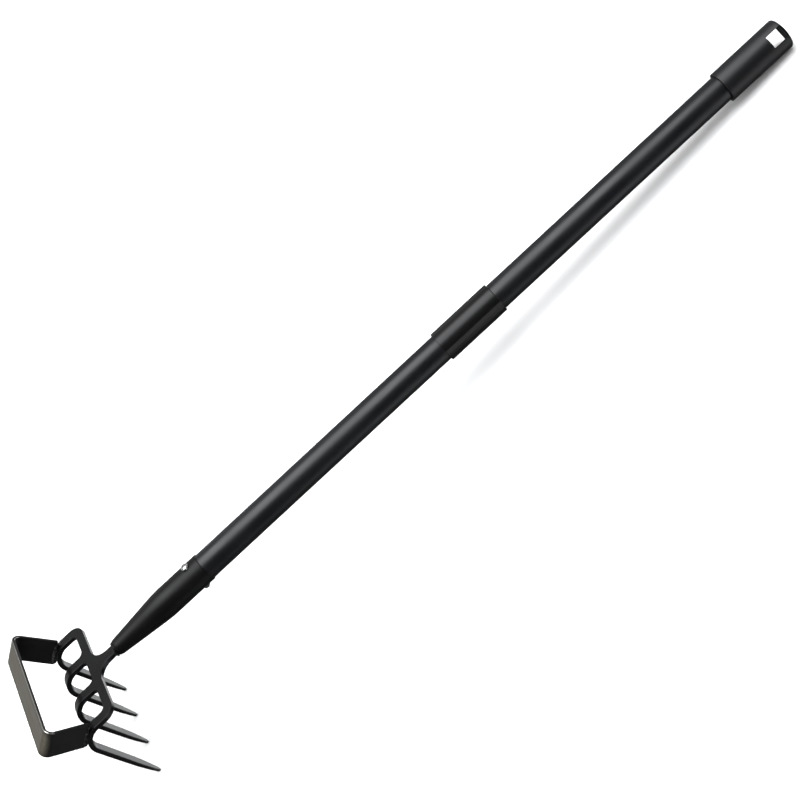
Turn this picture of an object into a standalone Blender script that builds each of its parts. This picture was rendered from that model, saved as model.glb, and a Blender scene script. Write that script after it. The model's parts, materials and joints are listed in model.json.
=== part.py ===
"""Long-handled garden tool: a four-tine cultivator with a stirrup hoe blade.

Every piece is drawn in the tool's own frame: the handle's axis is Y, with y = 0 at the socket's rim
and +Y towards the end cap, X runs across the head, and the tines point down, towards -Z.
The empty named "tool" then lays the tool on the ground, on its four tine tips and its end cap.
"""
import math

import bmesh
import bpy
from mathutils import Matrix, Vector

MM = 0.001
GAP = 0.3  # between touching pieces, in millimetres like every size below
ROUND_STEPS = 40
DRILL_STEPS = 24
CORNER_STEPS = 8
ON_AXIS = 1e-6

# Handle
TUBE_RADIUS = 14.0
TUBE_WALL = 1.0
SEAM_Y = 342.0
TUBE_TOP_Y = 718.0
TUBE_BOTTOM_Y = -52.0
SWAGE_RADIUS = 13.3
SWAGE_START_Y = -0.2
SWAGE_END_Y = -4.4
SPIGOT_WALL = 1.2
SPIGOT_BELOW = 70.0
SPIGOT_ABOVE = 55.0
SPIGOT_LEAD_IN = 3.0
SPIGOT_NOSE_CUT = 0.75

# Socket, which holds the tube at its wide end and the fork's neck at its narrow one
SOCKET_RADIUS = 14.95
SOCKET_WALL = 1.25
SOCKET_RIM_Y = -0.8
SOCKET_RIM_BEVEL = 0.4
SOCKET_MOUTH_DEPTH = 4.2
SOCKET_TAPER_Y = -56.0
SOCKET_SOFTENING = 9.0
SOCKET_NOSE_Y = -114.3
SOCKET_END_Y = -118.6
SOCKET_NOSE_RADIUS = 8.7
SOCKET_END_RADIUS = 6.9
SOCKET_END_BEVEL = 1.0
SOCKET_FLOOR_Y = -106.0
NECK_SLOT_OVERRUN = 3.0

# Cross screw and nut
SCREW_Y = -14.0
SCREW_RADIUS = 2.0
SCREW_HOLE_RADIUS = 2.35
SCREW_HEAD_RADIUS = 4.1
SCREW_HEAD_HEIGHT = 2.9
SCREW_HEAD_PROFILE = ((0.0, 0.0), (0.55, 0.15), (0.86, 0.8), (1.0, 1.8))  # share of its radius, drop
SCREW_END_BEVEL = 0.5
RECESS_DEPTH = 1.6
RECESS_REACH = 2.1
RECESS_HALF_SLOT = 0.45
SCREW_TAIL = 2.0
NUT_ACROSS_FLATS = 7.0
NUT_HEIGHT = 3.6
SEAT_Z = SOCKET_RADIUS + GAP

# Fork: one blank, with its outline given on the flat, that is bent down at the fingers
FORK_THICKNESS = 5.0
NECK_BACK = 108.0
NECK_HALF_WIDTH = 6.1
NECK_WAIST_HALF_WIDTH = 6.4
NECK_FILLET = 15.0
BAR_BACK = 142.8
SHOULDER_RADIUS = 13.0
FINGER_PITCH = 42.0
FINGER_HALF_WIDTH = 5.5
BAR_HALF_WIDTH = 1.5 * FINGER_PITCH + FINGER_HALF_WIDTH
CROTCH = 152.0
CROTCH_RADIUS = 6.0
CROTCH_STEPS = 5
BEND_START = 167.2
BEND_RADIUS = 18.5
BEND_ANGLE = math.radians(101.5)
BEND_STEPS = 10
TINE_LENGTH = 76.0
TINE_ROOT_HALF_WIDTH = 5.2
TINE_HALF_WIDTH = 4.7
TINE_POINT = 30.0
TIP_HALF_WIDTH = 1.85
TIP_ARC_START = 0.35
TIP_STEPS = 4
TIP_THICKNESS_SHARE = 0.55
THINNING = 2.2
POINT_STATIONS = ((0.0, 1.0), (0.3, 0.9), (0.68, 0.68))  # share of the point's length, of its width
TINE_START = BEND_START + BEND_ANGLE * BEND_RADIUS
TINE_END = TINE_START + TINE_LENGTH

# Stirrup blade, a bent strip whose loop leans up and forwards from the fork
BLADE_LEAN = math.radians(52.7)
BLADE_Y = -207.0
BLADE_Z = 34.1
BLADE_WIDTH = 156.5
STRIP_WIDTH = 28.0
STRIP_THICKNESS = 3.0
ARM_SPLAY = math.radians(16.0)
BLADE_CORNER = 8.0
FORWARD = Vector((0.0, -math.cos(BLADE_LEAN), math.sin(BLADE_LEAN)))
ACROSS_STRIP = Vector((0.0, math.sin(BLADE_LEAN), math.cos(BLADE_LEAN)))
BEND_CENTRE = Vector((0.0, -BEND_START, -BEND_RADIUS))
ARM_LENGTH = ((Vector((0.0, BLADE_Y, BLADE_Z)) - BEND_CENTRE).dot(FORWARD)
              - BEND_RADIUS - FORK_THICKNESS / 2 - GAP)

# Welds
BEAD_ACROSS = 4.6
BEAD_ALONG = 13.0
BEAD_RISE = 4.2
BEAD_SINK = 0.4
BEAD_CUT_BACK = 8.0
BEAD_CUT_PAST = 20.0
NECK_BEAD_RADIUS = 0.8
NECK_BEAD_CORNER = 1.6
NECK_BEAD_SIDES = 8

# Coupling sleeve: a thin wall at the front, a thick saddle behind, and two lips where they meet
SLEEVE_START_Y = 307.4
SLEEVE_END_Y = 377.5
SLEEVE_THIN_RADIUS = 14.8
SLEEVE_THICK_RADIUS = 16.1
SLEEVE_LIP_NEAR = math.radians(23.0)
SLEEVE_LIP_NEAR_END = math.radians(39.0)
SLEEVE_LIP_FAR = math.radians(-82.0)
SLEEVE_LIP_FAR_END = math.radians(-86.0)
SLEEVE_THIN_STEPS = 14
SLEEVE_THICK_STEPS = 26

# End cap, with a square hanging hole that a shallower bar closes at the end
CAP_START_Y = 665.3
CAP_END_Y = 743.8
CAP_RADIUS = 16.4
CAP_MOUTH_BEVEL = 0.5
CAP_DOME_RADIUS = 36.0
CAP_EDGE = 3.0
CAP_DOME_STEPS = 4
HOLE_START_Y = 722.6
HOLE_END_Y = 741.0
HOLE_WIDTH = 13.3
BAR_DEPTH = 16.0
NOTCH_INSET = 5.0
CUTTER_REACH = 25.0
FRONT_ANGLE = math.radians(38.5)  # from +X towards +Z: where the hanging hole and the sleeve's front face

PITCH_LIMIT = math.radians(15.0)
PITCH_HALVINGS = 40


def clear_scene():
    for obj in list(bpy.data.objects):
        bpy.data.objects.remove(obj, do_unlink=True)


def material(name, colour, roughness, metallic):
    mat = bpy.data.materials.new(name)
    mat.use_nodes = True
    shader = mat.node_tree.nodes["Principled BSDF"]
    shader.inputs["Base Color"].default_value = (*colour, 1.0)
    shader.inputs["Roughness"].default_value = roughness
    shader.inputs["Metallic"].default_value = metallic
    return mat


def finish(name, bm, mat, parent, sharp_degrees=35.0):
    """Turn a bmesh in millimetres into a smooth-shaded object in metres under the tool's empty."""
    bmesh.ops.scale(bm, vec=(MM, MM, MM), verts=bm.verts)
    bmesh.ops.recalc_face_normals(bm, faces=bm.faces)
    mesh = bpy.data.meshes.new(name)
    bm.to_mesh(mesh)
    bm.free()
    mesh.shade_smooth()
    mesh.set_sharp_from_angle(angle=math.radians(sharp_degrees))
    mesh.materials.append(mat)
    obj = bpy.data.objects.new(name, mesh)
    bpy.context.collection.objects.link(obj)
    obj.parent = parent
    return obj


def cut(obj, cutter):
    cutter.hide_render = True
    cutter.display_type = "WIRE"
    mod = obj.modifiers.new(cutter.name, "BOOLEAN")
    mod.operation = "DIFFERENCE"
    mod.solver = "EXACT"
    mod.object = cutter


def arc(centre, radius, start, end, steps):
    """Points on an arc, from one angle to another, both ends included."""
    points = []
    for i in range(steps + 1):
        angle = start + (end - start) * i / steps
        points.append((centre[0] + radius * math.cos(angle), centre[1] + radius * math.sin(angle)))
    return points


def skin_rings(bm, rings):
    """Join a closed run of closed rings, each to the next one, into a ring-shaped tube."""
    for i, ring in enumerate(rings):
        following = rings[(i + 1) % len(rings)]
        for j in range(len(ring)):
            k = (j + 1) % len(ring)
            bm.faces.new((ring[j], ring[k], following[k], following[j]))


def revolve_y(profile, steps=ROUND_STEPS):
    """Turn a closed profile of (radius, y) points about the Y axis."""
    bm = bmesh.new()
    rings = []
    for i in range(steps):
        angle = 2.0 * math.pi * i / steps
        ring = []
        for radius, y in profile:
            ring.append(bm.verts.new((radius * math.cos(angle), y, radius * math.sin(angle))))
        rings.append(ring)
    skin_rings(bm, rings)
    bmesh.ops.remove_doubles(bm, verts=bm.verts, dist=1e-4)
    bmesh.ops.dissolve_degenerate(bm, edges=bm.edges, dist=1e-4)
    return bm


def extrude_outline(points, to_space, low, high):
    """Extrude a closed outline of (u, v) points from one level to another; to_space places a point."""
    bm = bmesh.new()
    bottom = [bm.verts.new(to_space(u, v, low)) for u, v in points]
    top = [bm.verts.new(to_space(u, v, high)) for u, v in points]
    bm.faces.new(bottom)
    bm.faces.new(list(reversed(top)))
    for i in range(len(points)):
        j = (i + 1) % len(points)
        bm.faces.new((bottom[j], bottom[i], top[i], top[j]))
    return bm


def as_drawn(u, v, w):
    return Vector((u, v, w))


def cylinder(radius, low, high, y, steps=DRILL_STEPS):
    """A solid along Z through (0, y)."""
    points = arc((0.0, y), radius, 0.0, 2.0 * math.pi, steps)[:-1]
    return extrude_outline(points, as_drawn, low, high)


def rectangle(left, right, near, far):
    return [(left, near), (right, near), (right, far), (left, far)]


# ---------------------------------------------------------------------------------------------
# Fork
# ---------------------------------------------------------------------------------------------

def bent(x, along, lift):
    """Carry a point of the flat blank, at a distance along it, onto the bent fork."""
    if along <= BEND_START:
        return Vector((x, -along, lift))
    turned = min((along - BEND_START) / BEND_RADIUS, BEND_ANGLE)
    y = -BEND_START - (BEND_RADIUS + lift) * math.sin(turned)
    z = (BEND_RADIUS + lift) * math.cos(turned) - BEND_RADIUS
    rest = max(along - TINE_START, 0.0)
    return Vector((x, y - rest * math.cos(BEND_ANGLE), z - rest * math.sin(BEND_ANGLE)))


def tine_outline(centre):
    """Outline of one finger and tine, from its right side to its left, seen with the tip upwards."""
    right = [(FINGER_HALF_WIDTH, BEND_START), (TINE_ROOT_HALF_WIDTH, TINE_START)]
    for along_share, width_share in POINT_STATIONS:
        right.append((TINE_HALF_WIDTH * width_share, TINE_END - TINE_POINT * (1.0 - along_share)))
    tip = arc((0.0, TINE_END - TIP_HALF_WIDTH), TIP_HALF_WIDTH, TIP_ARC_START,
              math.pi - TIP_ARC_START, TIP_STEPS)
    left = [(-x, along) for x, along in reversed(right)]
    return [(centre + x, along) for x, along in right + tip + left]


def crotch(centre):
    """The rounded back of the window between two fingers, from its right side to its left."""
    reach = FINGER_PITCH / 2 - FINGER_HALF_WIDTH - CROTCH_RADIUS
    right = arc((centre + reach, CROTCH + CROTCH_RADIUS), CROTCH_RADIUS, 0.0, -math.pi / 2, CROTCH_STEPS)
    left = arc((centre - reach, CROTCH + CROTCH_RADIUS), CROTCH_RADIUS, -math.pi / 2, -math.pi, CROTCH_STEPS)
    return right + left


def fork_outline():
    """The flat blank's outline in (x, distance along), once round, starting at the neck's right."""
    fillet = (NECK_WAIST_HALF_WIDTH + NECK_FILLET, BAR_BACK - NECK_FILLET)
    shoulder = (BAR_HALF_WIDTH - SHOULDER_RADIUS, BAR_BACK + SHOULDER_RADIUS)
    right = [(NECK_HALF_WIDTH, NECK_BACK), (NECK_HALF_WIDTH, -SOCKET_END_Y)]
    right += arc(fillet, NECK_FILLET, math.pi, math.pi / 2, CORNER_STEPS)
    right += arc(shoulder, SHOULDER_RADIUS, -math.pi / 2, 0.0, CORNER_STEPS)
    left = [(-x, along) for x, along in reversed(right)]
    middle = tine_outline(1.5 * FINGER_PITCH)
    for finger in (0.5, -0.5, -1.5):
        middle += crotch((finger + 0.5) * FINGER_PITCH) + tine_outline(finger * FINGER_PITCH)
    return right + middle + left


def flat_sheet(points):
    bm = bmesh.new()
    bm.faces.new([bm.verts.new((u, v, 0.0)) for u, v in points])
    return bm


def bend_cuts():
    length = BEND_ANGLE * BEND_RADIUS
    return [BEND_START + length * i / BEND_STEPS for i in range(BEND_STEPS + 1)]


def bend_sheet(bm, thickness, cuts):
    """Cut a flat outline across at each distance, give it its thickness, and bend it."""
    for along in cuts:
        geometry = bm.verts[:] + bm.edges[:] + bm.faces[:]
        bmesh.ops.bisect_plane(bm, geom=geometry, plane_co=(0, along, 0), plane_no=(0, 1, 0), dist=1e-4)
    sheet = bmesh.ops.extrude_face_region(bm, geom=bm.faces[:])
    raised = {vert for vert in sheet["geom"] if isinstance(vert, bmesh.types.BMVert)}
    for vert in bm.verts:
        along = vert.co.y
        down_the_tine = min(max((along - TINE_START) / TINE_LENGTH, 0.0), 1.0)
        half = thickness / 2 * (1.0 - (1.0 - TIP_THICKNESS_SHARE) * down_the_tine ** THINNING)
        vert.co = bent(vert.co.x, along, half if vert in raised else -half)


def make_fork(mat, parent):
    bm = flat_sheet(fork_outline())
    point_cuts = [TINE_END - TINE_POINT * (1.0 - share) for share, _ in POINT_STATIONS]
    bend_sheet(bm, FORK_THICKNESS, bend_cuts() + point_cuts)
    return finish("fork", bm, mat, parent)


# ---------------------------------------------------------------------------------------------
# Stirrup blade and welds
# ---------------------------------------------------------------------------------------------

def in_loop(u, v, w):
    """A point of the loop's own plane: u across, v back from the blade's face, w across the strip."""
    return Vector((u, BLADE_Y, BLADE_Z)) - FORWARD * v + ACROSS_STRIP * w


def arm_outside(back, offset):
    """How far from the middle an arm is, at a distance back from the blade's face."""
    return BLADE_WIDTH / 2 - back * math.tan(ARM_SPLAY) - offset / math.cos(ARM_SPLAY)


def strip_side(offset):
    """One side of the strip as seen in the loop's plane, from the right arm's end to the left's."""
    radius = BLADE_CORNER - offset
    centre_u = arm_outside(offset, offset) - radius * math.tan((math.pi / 2 + ARM_SPLAY) / 2)
    right = [(arm_outside(ARM_LENGTH, offset), ARM_LENGTH)]
    right += arc((centre_u, BLADE_CORNER), radius, ARM_SPLAY, -math.pi / 2, CORNER_STEPS)
    return right + [(-u, v) for u, v in reversed(right)]


def make_blade(mat, parent):
    outline = strip_side(0.0) + list(reversed(strip_side(STRIP_THICKNESS)))
    bm = extrude_outline(outline, in_loop, -STRIP_WIDTH / 2, STRIP_WIDTH / 2)
    return finish("hoe_blade", bm, mat, parent)


def swollen_finger(centre, grow):
    """The bent stretch of one finger, swollen all round, for cutting a weld bead."""
    half = FINGER_HALF_WIDTH + grow
    bm = flat_sheet(rectangle(centre - half, centre + half, BEND_START - BEAD_CUT_BACK,
                              TINE_START + BEAD_CUT_PAST))
    bend_sheet(bm, FORK_THICKNESS + 2.0 * grow, bend_cuts())
    return bm


def swollen_arm(side, grow):
    """The end of one arm, swollen all round, for cutting a weld bead."""
    start, end = ARM_LENGTH - BEAD_CUT_PAST, ARM_LENGTH + grow
    outline = []
    for back, offset in ((start, -grow), (end, -grow), (end, STRIP_THICKNESS + grow),
                         (start, STRIP_THICKNESS + grow)):
        outline.append((side * arm_outside(back, offset), back))
    half = STRIP_WIDTH / 2 + grow
    return extrude_outline(outline, in_loop, -half, half)


def make_arm_weld(side, name, mat, parent):
    """A bead round the arm's end, where it stands on the outer finger's bend."""
    bm = bmesh.new()
    bmesh.ops.create_uvsphere(bm, u_segments=20, v_segments=12, radius=1.0)
    middle = arm_outside(ARM_LENGTH, STRIP_THICKNESS / 2)
    centre = in_loop(side * middle, ARM_LENGTH - BEAD_SINK, 0.0)
    for vert in bm.verts:
        across, rise, along = vert.co
        offset = Vector((across * BEAD_ACROSS, 0.0, 0.0)) + FORWARD * rise * BEAD_RISE
        vert.co = centre + offset + ACROSS_STRIP * along * BEAD_ALONG
    bead = finish(name, bm, mat, parent, 50.0)
    finger = swollen_finger(side * 1.5 * FINGER_PITCH, GAP)
    cut(bead, finish(name + "_finger_cutter", finger, mat, parent))
    cut(bead, finish(name + "_arm_cutter", swollen_arm(side, GAP), mat, parent))


def make_neck_weld(mat, parent):
    """A bead round the neck, against the socket's end."""
    half_x = NECK_WAIST_HALF_WIDTH + GAP + NECK_BEAD_RADIUS - NECK_BEAD_CORNER
    half_z = FORK_THICKNESS / 2 + GAP + NECK_BEAD_RADIUS - NECK_BEAD_CORNER
    path = []
    for i, centre in enumerate(((half_x, half_z), (-half_x, half_z), (-half_x, -half_z), (half_x, -half_z))):
        path += arc(centre, NECK_BEAD_CORNER, i * math.pi / 2, (i + 1) * math.pi / 2, 4)
    middle_y = SOCKET_END_Y - GAP - NECK_BEAD_RADIUS
    bm = bmesh.new()
    rings = []
    for i, (x, z) in enumerate(path):
        before, after = path[i - 1], path[(i + 1) % len(path)]
        tangent = Vector((after[0] - before[0], 0.0, after[1] - before[1])).normalized()
        outward = Vector((tangent.z, 0.0, -tangent.x))
        ring = []
        for out, up in arc((0.0, middle_y), NECK_BEAD_RADIUS, 0.0, 2.0 * math.pi, NECK_BEAD_SIDES)[:-1]:
            ring.append(bm.verts.new(Vector((x, up, z)) + outward * out))
        rings.append(ring)
    skin_rings(bm, rings)
    finish("neck_weld", bm, mat, parent, 60.0)


# ---------------------------------------------------------------------------------------------
# Socket, tubes and what joins them
# ---------------------------------------------------------------------------------------------

def socket_radius(y):
    """Outer radius of the socket: parallel, then a cone that starts with a soft shoulder."""
    slope = (SOCKET_RADIUS - SOCKET_NOSE_RADIUS) / (SOCKET_TAPER_Y - SOCKET_NOSE_Y)
    into = SOCKET_TAPER_Y - y
    if into < -SOCKET_SOFTENING:
        return SOCKET_RADIUS
    if into < SOCKET_SOFTENING:
        return SOCKET_RADIUS - slope * (into + SOCKET_SOFTENING) ** 2 / (4.0 * SOCKET_SOFTENING)
    return SOCKET_RADIUS - slope * into


def make_socket(mat, parent):
    stations = [SOCKET_TAPER_Y + SOCKET_SOFTENING * (1.0 - i / 3) for i in range(7)]
    profile = [(TUBE_RADIUS + GAP, SOCKET_RIM_Y), (SOCKET_RADIUS - SOCKET_RIM_BEVEL, SOCKET_RIM_Y)]
    profile += [(SOCKET_RADIUS, SOCKET_RIM_Y - SOCKET_RIM_BEVEL)]
    profile += [(socket_radius(y), y) for y in stations + [SOCKET_NOSE_Y]]
    profile += [(SOCKET_END_RADIUS + SOCKET_END_BEVEL, SOCKET_END_Y + SOCKET_END_BEVEL)]
    profile += [(SOCKET_END_RADIUS, SOCKET_END_Y), (ON_AXIS, SOCKET_END_Y), (ON_AXIS, SOCKET_FLOOR_Y)]
    profile += [(socket_radius(SOCKET_FLOOR_Y) - SOCKET_WALL, SOCKET_FLOOR_Y)]
    profile += [(socket_radius(y) - SOCKET_WALL, y) for y in reversed(stations)]
    profile += [(SOCKET_RADIUS - SOCKET_WALL, SOCKET_RIM_Y - SOCKET_MOUTH_DEPTH)]
    socket = finish("socket", revolve_y(profile), mat, parent)
    half_x, half_z = NECK_HALF_WIDTH + GAP, FORK_THICKNESS / 2 + GAP
    slot = rectangle(-half_x, half_x, SOCKET_END_Y - NECK_SLOT_OVERRUN, SOCKET_FLOOR_Y + NECK_SLOT_OVERRUN)
    cut(socket, finish("neck_cutter", extrude_outline(slot, as_drawn, -half_z, half_z), mat, parent))
    return socket


def make_tubes(mat, parent, socket):
    inner = TUBE_RADIUS - TUBE_WALL
    swaged_inner = SWAGE_RADIUS - TUBE_WALL
    lower = [(TUBE_RADIUS, SEAM_Y - GAP / 2), (TUBE_RADIUS, SWAGE_START_Y)]
    lower += [(SWAGE_RADIUS, SWAGE_END_Y), (SWAGE_RADIUS, TUBE_BOTTOM_Y)]
    lower += [(swaged_inner, TUBE_BOTTOM_Y), (swaged_inner, SWAGE_END_Y)]
    lower += [(inner, SWAGE_START_Y), (inner, SEAM_Y - GAP / 2)]
    lower_tube = finish("lower_tube", revolve_y(lower), mat, parent)
    upper = [(TUBE_RADIUS, TUBE_TOP_Y), (TUBE_RADIUS, SEAM_Y + GAP / 2)]
    upper += [(inner, SEAM_Y + GAP / 2), (inner, TUBE_TOP_Y)]
    finish("upper_tube", revolve_y(upper), mat, parent)
    hole = cylinder(SCREW_HOLE_RADIUS, -CUTTER_REACH, CUTTER_REACH, SCREW_Y)
    drill = finish("screw_drill", hole, mat, parent)
    cut(lower_tube, drill)
    cut(socket, drill)


def make_spigot(mat, parent):
    outer = TUBE_RADIUS - TUBE_WALL - GAP
    inner = outer - SPIGOT_WALL
    low, high = SEAM_Y - SPIGOT_BELOW, SEAM_Y + SPIGOT_ABOVE
    profile = [(outer, high - SPIGOT_LEAD_IN), (outer, low), (inner, low), (inner, high)]
    profile += [(outer - SPIGOT_NOSE_CUT, high)]
    finish("joint_spigot", revolve_y(profile), mat, parent)


def make_screw(mat, parent):
    """Pan-head screw down the Z axis, with a cross recess in its head."""
    tail = -SEAT_Z - NUT_HEIGHT - SCREW_TAIL
    crown = SEAT_Z + SCREW_HEAD_HEIGHT
    profile = [(share * SCREW_HEAD_RADIUS, crown - drop) for share, drop in SCREW_HEAD_PROFILE]
    profile += [(SCREW_HEAD_RADIUS, SEAT_Z), (SCREW_RADIUS, SEAT_Z), (SCREW_RADIUS, tail + SCREW_END_BEVEL)]
    profile += [(SCREW_RADIUS - SCREW_END_BEVEL, tail), (0.0, tail)]
    bm = bmesh.new()
    verts = [bm.verts.new((radius, 0.0, z)) for radius, z in profile]
    edges = [bm.edges.new(pair) for pair in zip(verts, verts[1:])]
    bmesh.ops.spin(bm, geom=verts + edges, cent=(0, 0, 0), axis=(0, 0, 1), angle=2.0 * math.pi,
                   steps=DRILL_STEPS, use_merge=True)
    bmesh.ops.remove_doubles(bm, verts=bm.verts, dist=1e-4)
    bmesh.ops.translate(bm, vec=(0.0, SCREW_Y, 0.0), verts=bm.verts)
    screw = finish("socket_screw", bm, mat, parent)
    near, far = RECESS_HALF_SLOT, RECESS_REACH
    half_cross = [(near, far), (-near, far), (-near, near), (-far, near), (-far, -near), (-near, -near)]
    cross = [(u, v + SCREW_Y) for u, v in half_cross + [(-u, -v) for u, v in half_cross]]
    recess = extrude_outline(cross, as_drawn, crown - RECESS_DEPTH, crown + RECESS_DEPTH)
    cut(screw, finish("recess_cutter", recess, mat, parent))


def make_nut(mat, parent):
    corner_radius = NUT_ACROSS_FLATS / math.sqrt(3.0)
    hexagon = arc((0.0, SCREW_Y), corner_radius, math.pi / 6, math.pi / 6 + 2.0 * math.pi, 6)[:-1]
    bm = extrude_outline(hexagon, as_drawn, -SEAT_Z - NUT_HEIGHT, -SEAT_Z)
    nut = finish("socket_nut", bm, mat, parent)
    bore = cylinder(SCREW_RADIUS + GAP, -SEAT_Z - 2.0 * NUT_HEIGHT, 0.0, SCREW_Y)
    cut(nut, finish("nut_drill", bore, mat, parent))


# ---------------------------------------------------------------------------------------------
# Sleeve and cap
# ---------------------------------------------------------------------------------------------

def front_frame(across, y, out):
    """Across the front, along the handle, and out of the front, as a point of the tool's frame."""
    front = Vector((math.cos(FRONT_ANGLE), 0.0, math.sin(FRONT_ANGLE)))
    side = Vector((math.sin(FRONT_ANGLE), 0.0, -math.cos(FRONT_ANGLE)))
    return side * across + front * out + Vector((0.0, y, 0.0))


def from_front(radius, start, end, steps):
    """Arc seen along the handle, its angles measured from the front, positive towards the tines."""
    return [(across, out) for out, across in arc((0.0, 0.0), radius, start, end, steps)]


def make_sleeve(mat, parent):
    outer = from_front(SLEEVE_THIN_RADIUS, SLEEVE_LIP_FAR, SLEEVE_LIP_NEAR, SLEEVE_THIN_STEPS)
    outer += from_front(SLEEVE_THICK_RADIUS, SLEEVE_LIP_NEAR_END, 2.0 * math.pi + SLEEVE_LIP_FAR_END,
                        SLEEVE_THICK_STEPS)
    inner = from_front(TUBE_RADIUS + GAP, 0.0, 2.0 * math.pi, ROUND_STEPS)[:-1]
    bm = bmesh.new()
    rims = {SLEEVE_START_Y: [], SLEEVE_END_Y: []}
    for points in (outer, inner):
        loops = []
        for y, rim in rims.items():
            loop = [bm.verts.new(front_frame(across, y, out)) for across, out in points]
            rim += [bm.edges.new((loop[i - 1], loop[i])) for i in range(len(loop))]
            loops.append(loop)
        low, high = loops
        for i in range(len(points)):
            bm.faces.new((low[i - 1], low[i], high[i], high[i - 1]))
    for rim in rims.values():
        bmesh.ops.triangle_fill(bm, edges=rim, use_beauty=True)
    finish("coupling_sleeve", bm, mat, parent, 20.0)


def make_cap(mat, parent):
    bore = TUBE_RADIUS + GAP
    dome_centre = CAP_END_Y - CAP_DOME_RADIUS
    edge_centre = CAP_RADIUS - CAP_EDGE
    lean = math.asin(edge_centre / CAP_DOME_RADIUS)
    profile = [(bore, CAP_START_Y), (CAP_RADIUS - CAP_MOUTH_BEVEL, CAP_START_Y)]
    profile += [(CAP_RADIUS, CAP_START_Y + CAP_MOUTH_BEVEL)]
    edge_y = dome_centre + CAP_DOME_RADIUS * math.cos(lean) - CAP_EDGE
    profile += arc((edge_centre, edge_y), CAP_EDGE, 0.0, math.pi / 2 - lean, CAP_DOME_STEPS)
    dome = arc((0.0, dome_centre), CAP_DOME_RADIUS, math.pi / 2 - lean, math.pi / 2, CAP_DOME_STEPS)
    profile += [(max(radius, ON_AXIS), y) for radius, y in dome[1:]]
    profile += [(ON_AXIS, TUBE_TOP_Y + GAP), (bore, TUBE_TOP_Y + GAP)]
    cap = finish("end_cap", revolve_y(profile), mat, parent)
    half = HOLE_WIDTH / 2
    hole = rectangle(-half, half, HOLE_START_Y, HOLE_END_Y)
    cutter = extrude_outline(hole, front_frame, -CUTTER_REACH, CUTTER_REACH)
    cut(cap, finish("hole_cutter", cutter, mat, parent))
    notch = rectangle(-half, half, HOLE_START_Y + NOTCH_INSET, CAP_END_Y + NOTCH_INSET)
    for name, low, high in (("front", BAR_DEPTH / 2, CUTTER_REACH), ("back", -CUTTER_REACH, -BAR_DEPTH / 2)):
        cutter = extrude_outline(notch, front_frame, low, high)
        cut(cap, finish(name + "_notch_cutter", cutter, mat, parent))
    return cap


# ---------------------------------------------------------------------------------------------
# Laying the tool down
# ---------------------------------------------------------------------------------------------

def turned_heights(obj, pitch, axis):
    turn = Matrix.Rotation(-pitch, 3, "X")
    return [(turn @ vert.co)[axis] for vert in obj.data.vertices]


def lay_down(tool, fork, blade, cap):
    """Pitch the tool until its tine tips and its cap touch the ground, and centre it over the origin."""
    low, high = 0.0, PITCH_LIMIT
    for _ in range(PITCH_HALVINGS):
        pitch = (low + high) / 2
        if min(turned_heights(cap, pitch, 2)) > min(turned_heights(fork, pitch, 2)):
            low = pitch
        else:
            high = pitch
    front = min(turned_heights(blade, pitch, 1))
    back = max(turned_heights(cap, pitch, 1))
    tool.rotation_euler = (-pitch, 0.0, 0.0)
    tool.location = (0.0, -(front + back) / 2, -min(turned_heights(cap, pitch, 2)))


def main():
    clear_scene()
    tool = bpy.data.objects.new("tool", None)
    bpy.context.collection.objects.link(tool)
    fork_steel = material("fork_steel", (0.012, 0.012, 0.013), 0.42, 0.0)
    blade_steel = material("blade_steel", (0.10, 0.095, 0.08), 0.38, 1.0)
    weld_steel = material("weld_steel", (0.02, 0.02, 0.02), 0.45, 0.3)
    socket_paint = material("socket_paint", (0.012, 0.012, 0.013), 0.4, 0.0)
    tube_paint = material("tube_paint", (0.013, 0.014, 0.016), 0.36, 0.0)
    spigot_steel = material("spigot_steel", (0.45, 0.45, 0.46), 0.35, 1.0)
    zinc = material("zinc", (0.75, 0.75, 0.77), 0.25, 1.0)
    cap_plastic = material("cap_plastic", (0.01, 0.01, 0.011), 0.45, 0.0)
    sleeve_plastic = material("sleeve_plastic", (0.008, 0.008, 0.009), 0.3, 0.0)

    fork = make_fork(fork_steel, tool)
    blade = make_blade(blade_steel, tool)
    make_arm_weld(1, "weld_bead_right", weld_steel, tool)
    make_arm_weld(-1, "weld_bead_left", weld_steel, tool)
    make_neck_weld(weld_steel, tool)
    socket = make_socket(socket_paint, tool)
    make_tubes(tube_paint, tool, socket)
    make_spigot(spigot_steel, tool)
    make_screw(zinc, tool)
    make_nut(zinc, tool)
    make_sleeve(sleeve_plastic, tool)
    cap = make_cap(cap_plastic, tool)
    lay_down(tool, fork, blade, cap)


main()
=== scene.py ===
"""Looks of the long-handled cultivator with a stirrup hoe blade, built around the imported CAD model.

Every piece is drawn in millimetres in the tool's own frame: the handle's axis is Y, with y = 0 at
the socket's rim and +Y towards the end cap, X runs across the head, and the tines point towards -Z.
The tool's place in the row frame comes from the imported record.
"""
import json
import math

import bmesh
import bpy
from mathutils import Matrix, Vector


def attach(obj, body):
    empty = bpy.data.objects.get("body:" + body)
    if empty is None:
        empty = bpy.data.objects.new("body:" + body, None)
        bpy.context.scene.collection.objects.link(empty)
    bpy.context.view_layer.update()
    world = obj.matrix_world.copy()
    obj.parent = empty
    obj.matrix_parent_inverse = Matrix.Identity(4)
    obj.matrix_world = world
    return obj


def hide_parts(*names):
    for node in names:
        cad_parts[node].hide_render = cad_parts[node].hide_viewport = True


MM = 0.001
GAP = 0.3            # between pieces that touch on the real tool
CLEARANCE = 1.0      # of a cutter past what it cuts
MERGE = 1e-4         # points nearer than this are one
ON_AXIS = 1e-6       # radius of a profile's point on the axis
ROUND_STEPS = 128
SMOOTH_ANGLE = 35.0
CUT_SMOOTH_ANGLE = 30.0
TURNED_SMOOTH_ANGLE = 40.0
WELD_SMOOTH_ANGLE = 60.0
BLADE_SMOOTH_ANGLE = 25.0
NUT_SMOOTH_ANGLE = 25.0
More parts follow.
